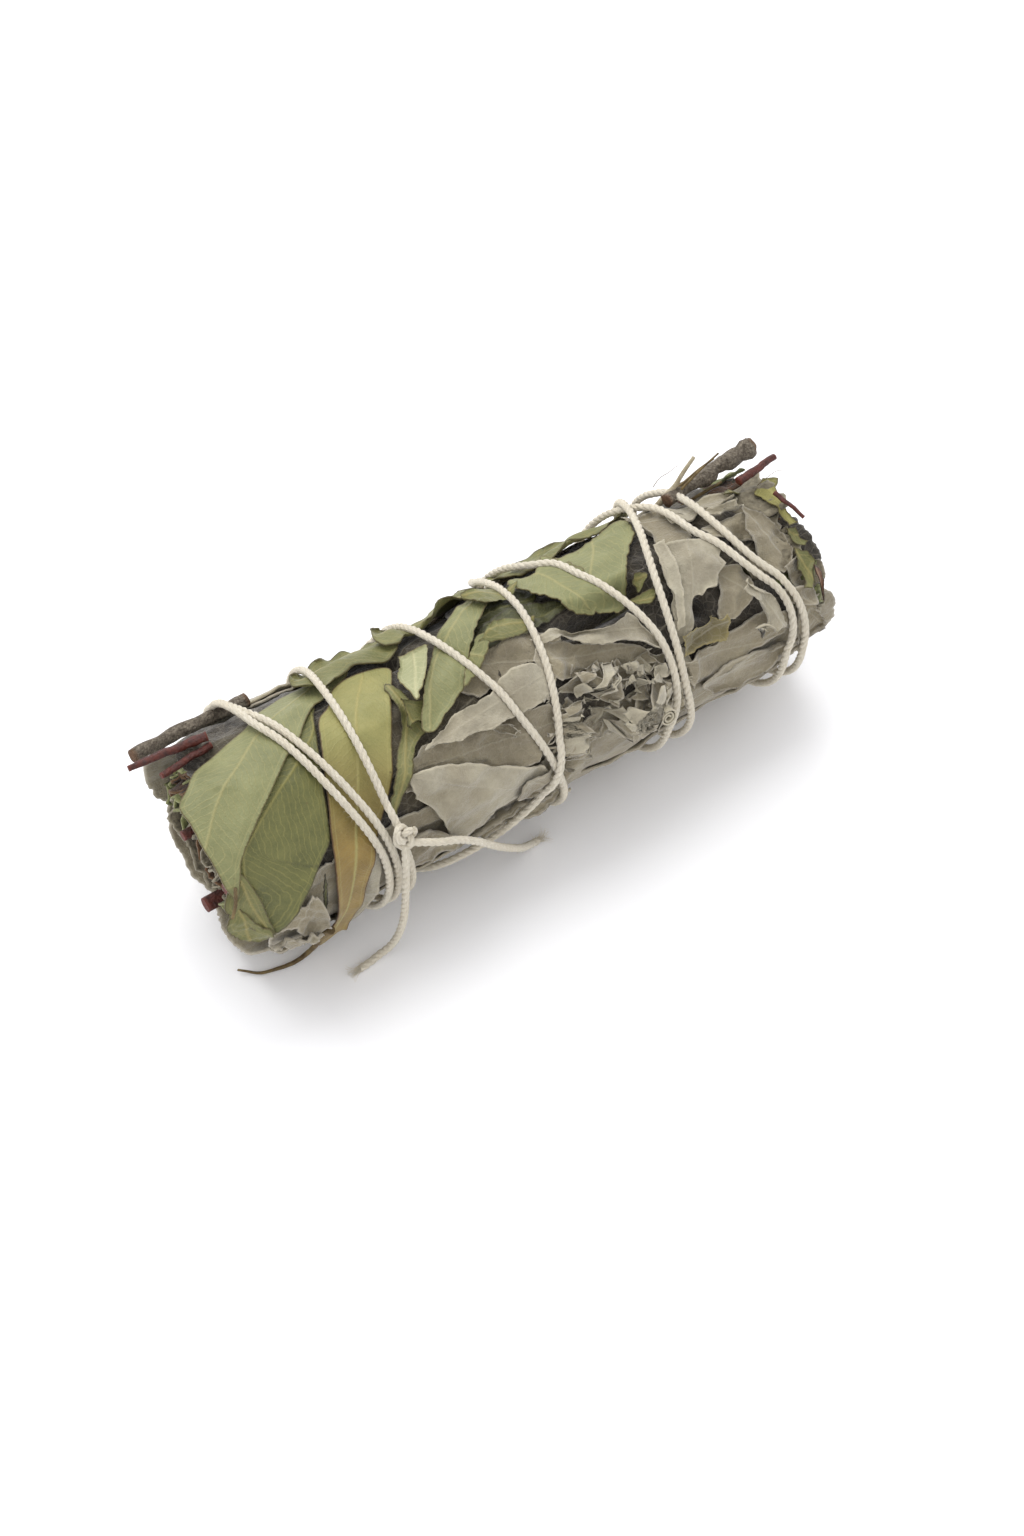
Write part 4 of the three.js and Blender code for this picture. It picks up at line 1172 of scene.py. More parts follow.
WRAP_EDGES = [-43, 8, 68, 128, 188, 248, 300]
for row in range(2):
    for column in range(6):
        middle = (WRAP_EDGES[column] + WRAP_EDGES[column + 1]) / 2
        width = (WRAP_EDGES[column + 1] - WRAP_EDGES[column] + 12) * ARC
        start = -50 - column % 2 if row == 0 else -3
        end = 3 if row == 0 else 50 + column % 3
        number = row * 6 + column + 1
        shell = leaf_shell(
            blade((start, middle), (end, middle), width, blunt=True),
            thickness=0.4, crumple=0.7, crumple_size=4.5, tear=0.5, curl=0.6, seed=100 + number,
            spacing=0.6, stiff=1, rounds=1, grain=(10, 2.2),
        )
        # The two front columns take the near-black sage, painted shade, so the gaps above them look dark.
        finish = SAGE_PAINTED_SHADE if column in (0, 1) else SAGE_MID
        leaf_piece(f"wrap_leaf_{number}", [shell], finish, "sage_grey", f"wrap_sage_leaf_{number}")

for index, (start, end) in enumerate([(-46, -36.2), (-22, -1.8), (3.8, 16), (25.4, 37)]):
    shell = leaf_shell(
        blade((start, 180), (end, 180), 18, blunt=True),
        crumple=0.6, crumple_size=4, tear=0.6, seed=130 + index, spacing=0.5, rise=0.5,
        bumps=[((start + end) / 2, 180, (end - start) / 2, 7, 2.6)],
    )
    leaf_piece(
        f"underside_leaf_{index + 1}", [shell], SAGE_MID, "sage_grey", f"underside_sage_leaf_{index + 1}",
    )

BACK_LEAVES = [((-44, -80), (-12, -96), 15), ((-6, -100), (24, -84), 15), ((22, -118), (47, -92), 14)]
for index, (base, tip, width) in enumerate(BACK_LEAVES):
    shell = leaf_shell(
        blade(base, tip, width + 2, bow=1),
        crumple=0.8, crumple_size=4, curl=1.7, tear=0.35, seed=140 + index, rise=0.2, grain=(-15, 2.0),
    )
    leaf_piece(f"back_leaf_{index + 1}", [shell], SAGE_PALE, "sage_grey", f"back_sage_leaf_{index + 1}")


# The twigs
# Two thick grey-barked twigs lie in the top of the bunch, one at each end, each with thin red-brown stems
# beside it. They are broken off short and held under the string.
bark = Finish("grey_bark", roughness=0.85)
bark_colour = bark.mix(bark.noise(0.8), (88, 80, 68), (142, 132, 116))
bark_colour = bark.mix(bark.math("MULTIPLY", bark.noise(0.3, 0.4, 0.6), 0.5), bark_colour, (62, 52, 42))
bark_colour = bark.mix(bark.math("MULTIPLY", bark.value("cut_face"), 0.8), bark_colour, (116, 84, 58))
bark.bump(bark.math("ADD", bark.noise(0.6), bark.math("MULTIPLY", bark.noise(0.25), 0.6)), 0.3)
bark.colour(bark_colour)


def twig_path(start, end, depth, bend, seed, count=26):
    """Points of a nearly straight twig between two places [x, angle] at this depth, with small bends."""
    ends = [on_bundle(x, angle, depth) for x, angle in (start, end)]
    share = np.linspace(0, 1, count)[:, None]
    line = ends[0] * (1 - share) + ends[1] * share
    wobble = np.stack([rough(share[:, 0] * 5, k, 1.0, seed + k, 2) - 0.5 for k in range(3)], 1)
    return line + bend * wobble * np.sin(math.pi * share)


knobs = np.interp(
    np.linspace(0, 1, 30),
    (0, 0.3, 0.45, 0.6, 0.74, 0.86, 0.93, 1), (1.0, 1.0, 1.3, 1.05, 1.4, 1.2, 1.7, 1.4),
)
TWIGS = [
    (
        "bark_twig_left", "grey_bark_twig_left", "grey_bark", bark.material,
        [limb(twig_path((-55.5, -50), (-35.5, -55), -0.5, 0.6, 3), np.full(26, 1.05), 0.3, 1.4, 5, 22)],
    ),
    (
        "red_stems_left", "red_stem_left", "red_stem", stem_wood.material,
        [
            limb(
                twig_path((-58.2, -32), (-46, -25), -0.3, 0.7, 12),
                np.linspace(0.45, 0.75, 26), 0.35, 1.3, 7, 14,
            ),
            limb(
                twig_path((-56.5, -38), (-47, -30), -0.9, 0.6, 8),
                np.linspace(0.3, 0.5, 26), 0.3, 1.4, 6, 12,
            ),
            limb(
                twig_path((-55, -20), (-46, -24), -1.8, 0.4, 14),
                np.linspace(0.5, 0.6, 26), 0.2, 1.5, 8, 12,
            ),
        ],
    ),
    (
        "rough_twig_right", "rough_grey_twig_right", "grey_bark", bark.material,
        [limb(twig_path((36, -28), (54.4, -41), 0.5, 0.7, 5, 30), knobs, 0.45, 1.2, 9, 26)],
    ),
    (
        "red_twig_right", "red_twig_right", "red_stem", stem_wood.material,
        [
            limb(
                twig_path((46.5, -13), (54.2, -17), 1.0, 0.5, 9),
                np.linspace(0.7, 0.5, 26), 0.3, 1.4, 10, 14,
            ),
            limb(
                twig_path((50.0, 2), (51.5, 22), 0.2, 0.5, 19),
                np.linspace(0.4, 0.3, 26), 0.3, 1.4, 11, 12,
            ),
        ],
    ),
]
for name, node, slot, material, limbs in TWIGS:
    twig = limb_object(name, limbs, material)
    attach(twig, "root")
    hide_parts(node)


# The eucalyptus leaves at the left end
# Two broad leaves with their ribs side by side, small ones at their tips and a long mustard one that bends
# under the bunch. They are smooth, thin and stiff, and lie flat under the string with some grey sage leaf.
SMOOTH = dict(
    thickness=0.26, crumple=0.14, crumple_size=7, stiff=5, rounds=12, curl=0.5, curl_width=0.9, tear=0.06,
)
TORN = dict(SMOOTH, crumple=0.35, crumple_size=5, curl=0.9, tear=0.28, tear_size=1.4, stiff=4, rounds=8)


def smooth_leaf(outline, **changes):
    """A whole eucalyptus leaf, smooth and stiff."""
    return leaf_shell(outline, **{**SMOOTH, **changes})


def torn_leaf(outline, **changes):
    """A eucalyptus leaf with broken edges, more crumpled than a whole one."""
    return leaf_shell(outline, **{**TORN, **changes})


# A narrow eucalyptus leaf in a gap at the left end, its near-black colour painted shade.
shaded = torn_leaf(
    [(-41.5, 66), (-42.3, 85), (-42.6, 105), (-43, 118), (-45.5, 116), (-45, 100), (-43.8, 85),
     (-42.8, 70)],
    rise=0.3, curl=1.5, seed=201, spacing=0.32,
)
leaf_piece("dark_narrow_leaf", [shaded], GREEN_PAINTED_SHADE, "eucalyptus_green")
grey_bits = leaf_shell(
    [(-44.4, 72), (-49, 78), (-51.5, 84), (-48.5, 90), (-46, 99), (-42.8, 99), (-43.2, 84)],
    crumple=1.3, crumple_size=2.6, curl=2.0, tear=0.5, seed=202, rise=0.3, spacing=0.32,
)
grey_bits_low = leaf_shell(
    [(-44, 96), (-50, 92), (-53, 97), (-50, 106), (-44, 110)],
    crumple=1.4, crumple_size=2.2, curl=2.0, tear=0.6, seed=203, rise=0.2, spacing=0.32,
)
leaf_piece("crumpled_leaf_left", [grey_bits, grey_bits_low], SAGE_MID, "sage_grey", "front_sage_leaf_11")
dark_leaf = smooth_leaf(
    [(-33, -16), (-38, -5), (-44, 10), (-50, 28), (-54, 45), (-55, 62), (-54, 76), (-52.5, 82), (-50.2, 83),
     (-46.2, 72), (-42.5, 63), (-38.9, 54), (-38.3, 49), (-36.4, 30), (-33.4, 8), (-31.2, -7), (-30, -15)],
    rib=[(-31.3, -10), (-32.8, 1), (-37.8, 13), (-42.6, 21), (-48.8, 33), (-51.7, 40), (-53.8, 62)],
    seed=204, rise=0.2, bumps=[(-40, 22, 5, 3, 0.5)],
)
leaf_piece("dark_eucalyptus_leaf", [dark_leaf], GREEN_DARK, "eucalyptus_green", "eucalyptus_leaf_left_dark")
tip_leaf = smooth_leaf(
    [(-53.6, 46), (-57.4, 60), (-56.2, 68), (-53.6, 81), (-51.8, 84), (-51.8, 74), (-52.2, 60)],
    crumple=0.4, crumple_size=3, rib=[(-53.8, 50), (-53.6, 64), (-52.5, 80)], seed=205, spacing=0.34,
)
low_leaf = torn_leaf(
    [(-55.5, 62), (-58, 70), (-57, 80), (-55, 88), (-52.5, 90), (-52, 80), (-54, 72)],
    crumple=1.0, crumple_size=2.5, seed=206, spacing=0.34, rise=-0.6,
)
leaf_piece("small_tip_leaves", [low_leaf, tip_leaf], GREEN_MID, "eucalyptus_green")
broad_leaf = smooth_leaf(
    [(-37.2, -29), (-40.8, -20), (-46, -15.5), (-50.2, -13), (-53.6, -3), (-56.2, 4), (-56.1, 14),
     (-56.4, 28), (-56.3, 40), (-56.2, 51), (-55.5, 57), (-52.6, 42), (-48.4, 31), (-44.5, 22),
     (-38.3, 8), (-35.9, 4), (-31.1, -10), (-28.4, -15), (-24.9, -21), (-21.5, -31), (-26, -36),
     (-31, -36)],
    curl=0.7, rib=[(-27, -33), (-33, -23), (-38.5, -14), (-44.4, -2), (-51.2, 12), (-56.2, 29)], seed=207,
    rise=0.1, bumps=[(-46, 4, 6, 4, 0.4)],
)
leaf_piece(
    "broad_eucalyptus_leaf", [broad_leaf], GREEN_PALE, "eucalyptus_green", "eucalyptus_leaf_left_broad",
)
sage_strip = leaf_shell(
    [(-32.4, 66), (-32.6, 85), (-33.2, 100), (-34.5, 124), (-38.5, 126), (-37, 101), (-35.8, 88),
     (-34.2, 70)],
    crumple=0.7, crumple_size=4, curl=1.6, seed=208, spacing=0.36,
)
leaf_piece("pale_sage_strip", [sage_strip], SAGE_PALE, "sage_grey")
yellow_leaf = smooth_leaf(
    [(-25.8, -19), (-28.9, -7), (-31.2, -2), (-33.2, 9), (-36.5, 33), (-38.6, 52), (-40.4, 77),
     (-40.9, 96), (-41.2, 112), (-42.2, 122), (-42.4, 132), (-41.6, 142), (-40.6, 149), (-39.6, 146),
     (-38.9, 136), (-38.2, 126), (-37.4, 115), (-36.1, 104), (-35.2, 87), (-33.1, 68), (-28.5, 51),
     (-26.6, 43), (-23.4, 24), (-20.1, 5), (-16.4, -18), (-21, -23)],
    curl=0.4,
    rib=[
        (-20.6, -20), (-23.4, -8), (-27, 9), (-30.2, 29), (-32.3, 42), (-35.8, 63), (-38.2, 90),
        (-40.4, 118),
    ],
    seed=209, rise=0.15, bumps=[(-28, 14, 4, 5, 0.5), (-41, 150, 5, 7, 4.2)],
)
leaf_piece("long_yellow_leaf", [yellow_leaf], YELLOW, "eucalyptus_yellow", "eucalyptus_leaf_long_yellow")


# The leaf stalks and loose stems
# The mustard leaf's stalk lies on the table, the broad leaf's is a short brown stub, and thin dry stems and
# hairs stand out of the top at the right end.
stalk_finish = Finish("dry_stalk", roughness=0.7)
stalk_colour = stalk_finish.mix(stalk_finish.noise(1.5), (78, 62, 38), (126, 108, 70))
stalk_finish.bump(stalk_finish.noise(0.3), 0.1)
stalk_finish.colour(stalk_colour)
pale_stalk = Finish("pale_stalk", roughness=0.8)
pale_stalk.bump(pale_stalk.noise(0.3), 0.1)
pale_stalk.colour(pale_stalk.mix(pale_stalk.noise(1.2), (150, 138, 112), (186, 176, 152)))


def stalk(points, thick, thin, seed, sides=8):
    line = smooth_curve(points, 0.6)
    return limb(line, np.linspace(thick, thin, len(line)) / 2, 0.15, 1.0, seed, sides)


under = [on_bundle(x, angle, 0.3) for x, angle in ((-41.6, 112), (-42.2, 124))]
stub = [
    on_bundle(x, angle, depth)
    for x, angle, depth in ((-55.2, 50, 0.4), (-56.2, 57, 0.5), (-57.4, 62, 0.6))
]
BROWN_STALKS = [
    stalk(
        [under[0], under[1], (-42.6, -11.9, 1.2), (-45.2, -12, 0.7), (-48.1, -11.4, 0.5),
         (-50.6, -10.6, 0.5), (-52.3, -9.1, 0.6), (-53.2, -8.5, 0.9)],
        1.3, 0.35, 1,
    ),
    stalk(stub, 0.6, 0.5, 2),
    stalk(
        [(35.5, 9.2, 31.8), (37.6, 9.1, 33.3), (40.3, 9, 34.8), (42.9, 9, 36.0), (45.5, 9, 36.6)],
        0.6, 0.3, 3,
    ),
    stalk([(36.5, 8.6, 32.0), (39.5, 8.4, 34.6), (43.0, 8.4, 36.9), (46.0, 8.6, 38.0)], 0.5, 0.3, 4),
    stalk([(38.4, 8, 30.4), (42.1, 8, 31.0), (44.4, 8, 31.2), (46.5, 8, 31.4)], 0.7, 0.4, 5),
    stalk([(34.8, 10, 36.0), (36.0, 10, 37.4), (37.6, 10, 37.6), (39.4, 10, 38.2)], 0.14, 0.08, 6, 5),
    stalk([(49.5, 3, 33.5), (53.5, 3.6, 33.6), (55.6, 4, 31.8)], 0.12, 0.06, 7, 5),
]
PALE_STALKS = [
    stalk(
        [(34.5, 9.4, 31.0), (36.4, 9.2, 33.4), (38.1, 9, 34.9), (39.8, 9, 37.4), (41.6, 9, 39.6)],
        0.95, 0.6, 8, 10,
    )
]
STALK_PIECES = [("brown_stalks", BROWN_STALKS, stalk_finish), ("pale_stalk", PALE_STALKS, pale_stalk)]
for name, stalks, finish in STALK_PIECES:
    piece = limb_object(name, stalks, finish.material)
    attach(piece, "root")


# The sage leaves in the middle
# Soft grey leaves folded over each other along the front, pulled in by the crossing string. The lowest are
# in shade, and the two large ones on top have rolled, pale rims.
SOFT = dict(crumple=0.95, crumple_size=3.8, curl=2.3, curl_width=1.4, tear=0.22, sharp=True)


def soft_leaf(outline, **changes):
    """A crumpled sage leaf whose edges curl up."""
    return leaf_shell(outline, **{**SOFT, **changes})


shade_leaves = [
    soft_leaf(
        [(-26, 40), (-20, 32), (-10, 35), (1, 43), (3, 56), (-4, 70), (-12, 66), (-19, 56), (-25, 52)],
        rise=-0.2, seed=301,
    ),
    soft_leaf([(-9, 4), (2, 3), (9, 16), (5, 27), (-1, 23), (-8, 25), (-11, 15)], rise=-0.2, seed=302),
]
leaf_piece("shaded_sage_leaves", shade_leaves, SAGE_MID, "sage_grey")
flap = soft_leaf([(-9.8, 38), (-5.2, 41), (-4.6, 50), (-6.7, 53), (-8.6, 47)], crumple=0.4, seed=303,
                  spacing=0.34, tilt=(0.05, -0.05))
flap_low = soft_leaf([(-0.1, 63.3), (2.6, 68), (5.1, 84), (1.5, 82), (-1, 76)], crumple=0.4, seed=304,
                      spacing=0.34, tilt=(0.1, -0.15), rise=0.3)
leaf_piece("small_middle_leaves", [flap, flap_low], SAGE_MID, "sage_grey", "front_sage_leaf_7")
lower = soft_leaf(
    [(-24.1, 42.8), (-21.4, 42.7), (-18.9, 44), (-14.5, 50), (-10.2, 58.8), (-6.5, 66), (-3.3, 72),
     (-2.2, 79), (-5, 84), (-9, 87), (-12, 95), (-16, 93), (-20, 99), (-20.5, 84), (-22, 70), (-23, 62),
     (-24.6, 55)],
    crumple=0.9, crumple_size=5, curl=2.4, curl_width=1.7, grain=(-20, 1.8), seed=305, rise=0.2,
    bumps=[(-17, 56, 4, 2, 0.9), (-12, 78, 6, 4, 0.7), (-21, 46, 2, 2, 0.9)],
)
leaf_piece("large_lower_leaf", [lower], SAGE_PALE, "sage_grey", "front_sage_leaf_1")
patches = [
    soft_leaf([(-7, 74), (-2, 76), (2, 84), (0, 94), (-6, 92), (-9, 84)], crumple=0.8, seed=306,
               spacing=0.34),
    soft_leaf([(-29, 76), (-24, 72), (-20, 80), (-18, 92), (-22, 104), (-28, 102), (-31, 88)],
               crumple=1.1, crumple_size=3, seed=307, rise=-0.2),
    soft_leaf([(-17, 97), (-10, 95), (-3, 98), (2, 106), (-6, 112), (-15, 108)],
               crumple=1.2, crumple_size=3, seed=310),
]
leaf_piece("lower_leaf_patches", patches, SAGE_MID, "sage_grey")
upper = soft_leaf(
    [(-20.6, 34.2), (-16.9, 30), (-13.2, 25.8), (-9.5, 25.6), (-6.9, 25.2), (-4.5, 21), (-2.3, 19.8),
     (0.6, 21.6), (2.9, 24.8), (5.8, 29.5), (4.6, 35), (2.6, 38.6), (0.5, 41.4), (-3.4, 41.8),
     (-7.1, 40.8), (-9.5, 42), (-12.2, 39.5), (-14.6, 40.2), (-16.4, 38.1), (-20.3, 35.6)],
    crumple=0.8, crumple_size=5, curl=1.8, grain=(-30, 2.2), seed=308, rise=0.5,
    rib=[(-20, 35), (-10, 32), (4, 30)], bumps=[(-9, 31, 7, 2.4, 1.0), (-1, 24, 3, 1.5, 0.6)],
)
leaf_piece("pointed_sage_leaf", [upper], SAGE_PALE, "sage_grey", "front_sage_leaf_2")


# The torn eucalyptus leaves on top
# Pale green leaves broken along their edges, rolled up and tucked under the string along the top of the
# bunch. Dark ones, with shade painted into their near-black colour, show in the gaps between them.
strip = torn_leaf(
    [(-18.8, -6), (-17.6, 6), (-17.8, 20), (-18.1, 28), (-20.4, 31), (-23.6, 43), (-26.6, 54), (-28.6, 61),
     (-29, 55), (-27, 45), (-24.6, 34), (-22, 23), (-20.2, 10), (-20, -4)],
    curl=1.4, rib=[(-19, -4), (-19.2, 14), (-21.4, 26), (-26, 48), (-28.6, 59)], seed=401, spacing=0.34,
)
small_flap = torn_leaf(
    [(-19.5, 7.7), (-15.9, 13), (-15.6, 18), (-17.6, 23.7), (-19.3, 23), (-20.4, 25.4), (-21.3, 21.8),
     (-20, 15)],
    sharp=True, curl=1.8, seed=402, spacing=0.34, rise=0.3,
)
leaf_piece("narrow_green_leaves", [strip, small_flap], GREEN_MID, "eucalyptus_green")
# Two leaves deep in the gaps, coloured near-black as painted shade.
dark_greens = [
    torn_leaf(
        [(-7, -16), (1, -25), (9, -24), (9, -12), (3, -4), (-4, -3)],
        crumple=1.0, crumple_size=3, seed=403,
    ),
    torn_leaf(
        [(-8, -1), (0, -8), (8, -8), (12, 2), (6, 8), (-2, 9)],
        crumple=1.1, crumple_size=3, seed=404,
    ),
]
leaf_piece("shaded_green_leaves", dark_greens, GREEN_PAINTED_SHADE, "eucalyptus_green")
rolled = torn_leaf(
    [(4.8, -27), (-1, -24), (-7.2, -19), (-11.4, -5), (-16.2, 12), (-18.9, 27), (-17.4, 29.5),
     (-14.6, 25.5), (-12.3, 22), (-9.6, 17), (-7.6, 9), (-5.6, 3), (-3, -4), (1.5, -16), (5.4, -24)],
    curl=1.0, tear=0.2, crumple=0.2, rib=[(4, -26), (-1, -20), (-9.3, -8), (-12.7, 3), (-17.7, 27)],
    seed=406, rise=0.5, bumps=[(-4, -15, 4, 3, 0.9), (-10, 2, 3, 4, 0.4)], spacing=0.36,
)
torn_flap = torn_leaf(
    [(-6.4, 3), (-4, -1), (-2.2, 4), (-4.6, 10), (-7.4, 15), (-10, 18)],
    crumple=0.7, curl=2, seed=407, spacing=0.3, tilt=(0.18, 0),
)
leaf_piece(
    "rolled_green_leaf", [rolled, torn_flap], GREEN_PALE, "eucalyptus_green", "torn_eucalyptus_leaf_1",
)
white_leaf = torn_leaf(
    [(-14.4, -21), (-12.4, -17.6), (-10.2, -14.7), (-9.7, -11.7), (-12.8, 0.6), (-16.9, 13.3),
     (-17.7, 14.2), (-18, 11.4), (-17.6, 4), (-18, -3.2), (-16, -12)],
    crumple=0.3, curl=1.6, sharp=True, rib=[(-12, -18), (-14, -5), (-17.6, 13.6)], seed=408, rise=0.7,
    spacing=0.3, tilt=(0.08, 0),
)
leaf_piece("white_green_leaf", [white_leaf], GREEN_WHITE, "eucalyptus_green", "torn_eucalyptus_leaf_2")
top_left = torn_leaf(
    [(-30, -25), (-26.7, -17), (-23.5, -22), (-20.2, -25), (-17, -21), (-14.1, -24), (-11.6, -34),
     (-13, -50), (-17, -62), (-24, -58), (-30, -42)],
    curl=2.4, curl_width=2.2, tear=0.2, seed=409, rise=0.5, rib=[(-29, -34), (-12, -40)],
    bumps=[(-21, -34, 8, 2.5, 1.0)],
)
leaf_piece("top_leaf_left", [top_left], GREEN_MID, "eucalyptus_green", "torn_eucalyptus_leaf_4")
top_right = [
    torn_leaf(
        [(-15, -28), (-8.3, -25), (-5.4, -29), (-1.7, -32), (-0.4, -27), (5, -25), (7, -40), (5.2, -58),
         (-4, -64), (-10, -58), (-15, -46)],
        curl=2.2, curl_width=2.0, seed=410, rise=0.5, rib=[(-14, -38), (6, -34)],
        bumps=[(-4, -40, 7, 2.5, 1.0)],
    ),
    torn_leaf(
        [(5, -42), (12, -36), (20, -35), (28, -37), (33, -48), (30, -60), (18, -66), (8, -62)],
        curl=2.2, curl_width=1.8, seed=411, rise=0.5, rib=[(6, -50), (31, -46)],
        bumps=[(20, -42, 8, 2, 1.0)],
    ),
]
leaf_piece("top_leaves_right", top_right, GREEN_MID, "eucalyptus_green", "torn_eucalyptus_leaf_5")
split_leaves = [
    torn_leaf(
        [(13.8, -34), (17.3, -29), (23.1, -31), (28.8, -33), (28.4, -19), (26.1, -11), (22.6, 2),
         (20, 15), (17.6, 8), (16.6, -6), (14.8, -20)],
        crumple=0.35, rib=[(22.4, -30), (21.2, -22), (17.3, -5)], seed=412, rise=0.9,
    ),
    torn_leaf(
        [(6.2, -25), (11.7, -28), (14, -34), (16.2, -18), (17.4, -4), (18.2, 5), (19.6, 15), (19, 19.5),
         (17.3, 20.5), (16.2, 16.5), (14.3, 14), (12.9, 11.5), (11.6, 10), (10.1, 5.5), (9.4, 0), (8, -6),
         (7.2, -13)],
        crumple=0.3, tear=0.4, tear_size=0.9, rib=[(10.6, -29), (11.8, -22), (12.7, -8), (14.1, 9)],
        seed=413, rise=1.1,
    ),
]
leaf_piece("split_green_leaves", split_leaves, GREEN_PALE, "eucalyptus_green", "torn_eucalyptus_leaf_3")
small_greens = [
    torn_leaf(
        [(21.6, 8), (23.8, 6.5), (25, 10), (23.6, 14), (21.9, 16)],
        crumple=0.8, crumple_size=1.6, curl=2.2, seed=414, spacing=0.26, rise=0.4,
    ),
    torn_leaf(
        [(18.6, 17), (21.7, 16.6), (24.6, 18), (24, 22.5), (22.6, 24), (20.2, 21)],
        crumple=0.5, seed=415, spacing=0.28, rise=0.3,
    ),
    torn_leaf(
        [(-2, -24), (4, -27), (8, -20), (4, -13), (0, -14)],
        crumple=0.9, crumple_size=2, curl=2, seed=416, spacing=0.3, rise=0.4,
    ),
    torn_leaf(
        [(-5, 2), (1, -2), (6, 2), (3, 8), (-2, 9)],
        crumple=0.9, crumple_size=2, curl=2, seed=417, spacing=0.3, rise=0.3,
    ),
]
leaf_piece("green_scraps", small_greens, GREEN_MID, "eucalyptus_green")


# The crumpled cluster
# A long folded sage leaf and, below it, many small dry ones crumpled into each other where four turns of
# string meet. One small leaf is rolled up and stands on end.
cluster_base = [
    soft_leaf([(1, 22), (3.8, 14), (8.3, 20), (13, 29), (18, 40), (21.8, 52), (20, 60), (12, 52), (4, 38)],
               crumple=1.2, seed=501, rise=-0.4),
]
leaf_piece("folded_leaf_underside", cluster_base, SAGE_MID, "sage_grey")
long_fold = soft_leaf(
    [(2.6, 12), (4.2, 10.5), (7.6, 12.5), (11.4, 15.5), (13.7, 21), (15.7, 22), (18.6, 21.5), (20, 27),
     (21.2, 35), (21.8, 42), (22, 53), (20.6, 52), (17.6, 42.5), (13, 33), (8.3, 23.5), (4.4, 17)],
    curl=2.4, curl_width=1.8, crumple=0.5, grain=(40, 3), seed=502, rise=0.6,
    bumps=[(12, 26, 5, 1.2, 0.9), (18, 38, 3, 1.2, 0.8)],
)
leaf_piece("long_folded_leaf", [long_fold], SAGE_PALE, "sage_grey", "front_sage_leaf_3")

random = np.random.default_rng(12)
# Each group's range along and round the bunch, its number of scraps, their sizes, name, node and finish
CLUSTER = [
    (0.5, 24.5, 30, 82, 44, 1.4, 3.2, "cluster_scraps", "front_sage_leaf_5", SAGE_MID),
    (2.0, 23.0, 34, 74, 34, 1.0, 2.6, "pale_cluster_scraps", "front_sage_leaf_6", SAGE_PALE),
]
for left, right, upper_angle, lower_angle, count, small, large, name, node, finish in CLUSTER:
    scraps = []
    for index in range(count):
        x = random.uniform(left, right)
        angle = random.uniform(max(upper_angle, 30 + 1.1 * x), lower_angle)
        reach = random.uniform(small, large)
        turn = random.uniform(0, 2 * math.pi)
        even = np.linspace(0, 2 * math.pi, 5, endpoint=False)
        corners = np.sort(random.uniform(0, 2 * math.pi, 5) * 0.4 + even)
        shape = reach * random.uniform(0.5, 1.25, 5)
        outline = [
            (x + 1.3 * radius * math.cos(corner + turn), angle + radius * math.sin(corner + turn) / ARC)
            for radius, corner in zip(shape, corners)
        ]
        way = random.uniform(0, 2 * math.pi)
        slope = random.uniform(0.15, 0.75)
        scraps.append(
            leaf_shell(
                outline, thickness=0.26, crumple=0.7, crumple_size=2.2, curl=2.6, curl_width=0.9,
                tear=0.15, stiff=2, rounds=2, tilt=(slope * math.cos(way), slope * math.sin(way)),
                seed=600 + index, spacing=0.3, rise=-0.9, sharp=True,
            )
        )
    leaf_piece(name, scraps, finish, "sage_grey", node)

SMALL_ROLL_POINTS = 70
SMALL_ROLL_LEVELS = 9
roll_turn = np.linspace(0, 2.3 * 2 * math.pi, SMALL_ROLL_POINTS)
roll_reach = 0.35 + 1.15 * roll_turn / roll_turn[-1]
roll_place = [on_bundle(17.4, 77.0, depth) for depth in (0.4, 3.0)]
roll_axis = roll_place[1] - roll_place[0]
roll_side = np.cross(roll_axis, (1, 0, 0)) / np.linalg.norm(roll_axis)
roll_levels = np.linspace(0, 1, SMALL_ROLL_LEVELS)[:, None, None]
roll_grid = roll_place[0] * (1 - roll_levels) + roll_place[1] * roll_levels
roll_grid = roll_grid + (roll_reach * np.cos(roll_turn))[None, :, None] * np.array((1, 0, 0))
roll_grid = roll_grid + (roll_reach * np.sin(roll_turn))[None, :, None] * roll_side
rib_away = np.full(2 * SMALL_ROLL_LEVELS * SMALL_ROLL_POINTS, 3.0)
edge_away = np.tile(np.repeat(2.0 - 2.0 * roll_levels.ravel(), SMALL_ROLL_POINTS), 2)
small_roll = (*sheet_shell(roll_grid, 0.26), [rib_away, rib_away, edge_away])
leaf_piece("small_rolled_leaf", [small_roll], SAGE_PALE, "sage_grey")


# The sage leaves at the right end
# Broad grey leaves round a dark gap, one brown-green scrap in it, a curled pale flap and folded leaf ends.
# Green, olive and brown strips of eucalyptus leaf are squeezed in between them at the very end.
right_low = [
    soft_leaf(
        [(22, 58), (31, 59), (40, 56), (44, 66), (42, 78), (36, 75), (30, 81), (24, 77)],
        crumple=0.9, grain=(20, 2), seed=701,
    ),
    soft_leaf(
        [(25, 76), (34, 74), (41, 79), (45, 88), (37, 98), (28, 96)],
        crumple=1.0, grain=(15, 2), seed=702,
    ),
]
leaf_piece("lower_right_leaves", right_low, SAGE_MID, "sage_grey", "front_sage_leaf_12")
right_dark = [
    soft_leaf(
        [(34, 18), (39, 26), (40, 36), (38.5, 48), (34, 54), (31.5, 50), (33, 36)],
        rise=0.1, seed=703,
    ),
    soft_leaf([(28, -30), (34, -33), (37, -14), (35, 2), (30, 1)], crumple=0.6, grain=(-30, 2), seed=704),
    soft_leaf([(37, -2), (46, 2), (48, 16), (45, 22), (41, 18), (37, 8)], crumple=0.5, seed=705),
]
leaf_piece("middle_right_leaves", right_dark, SAGE_MID, "sage_grey")
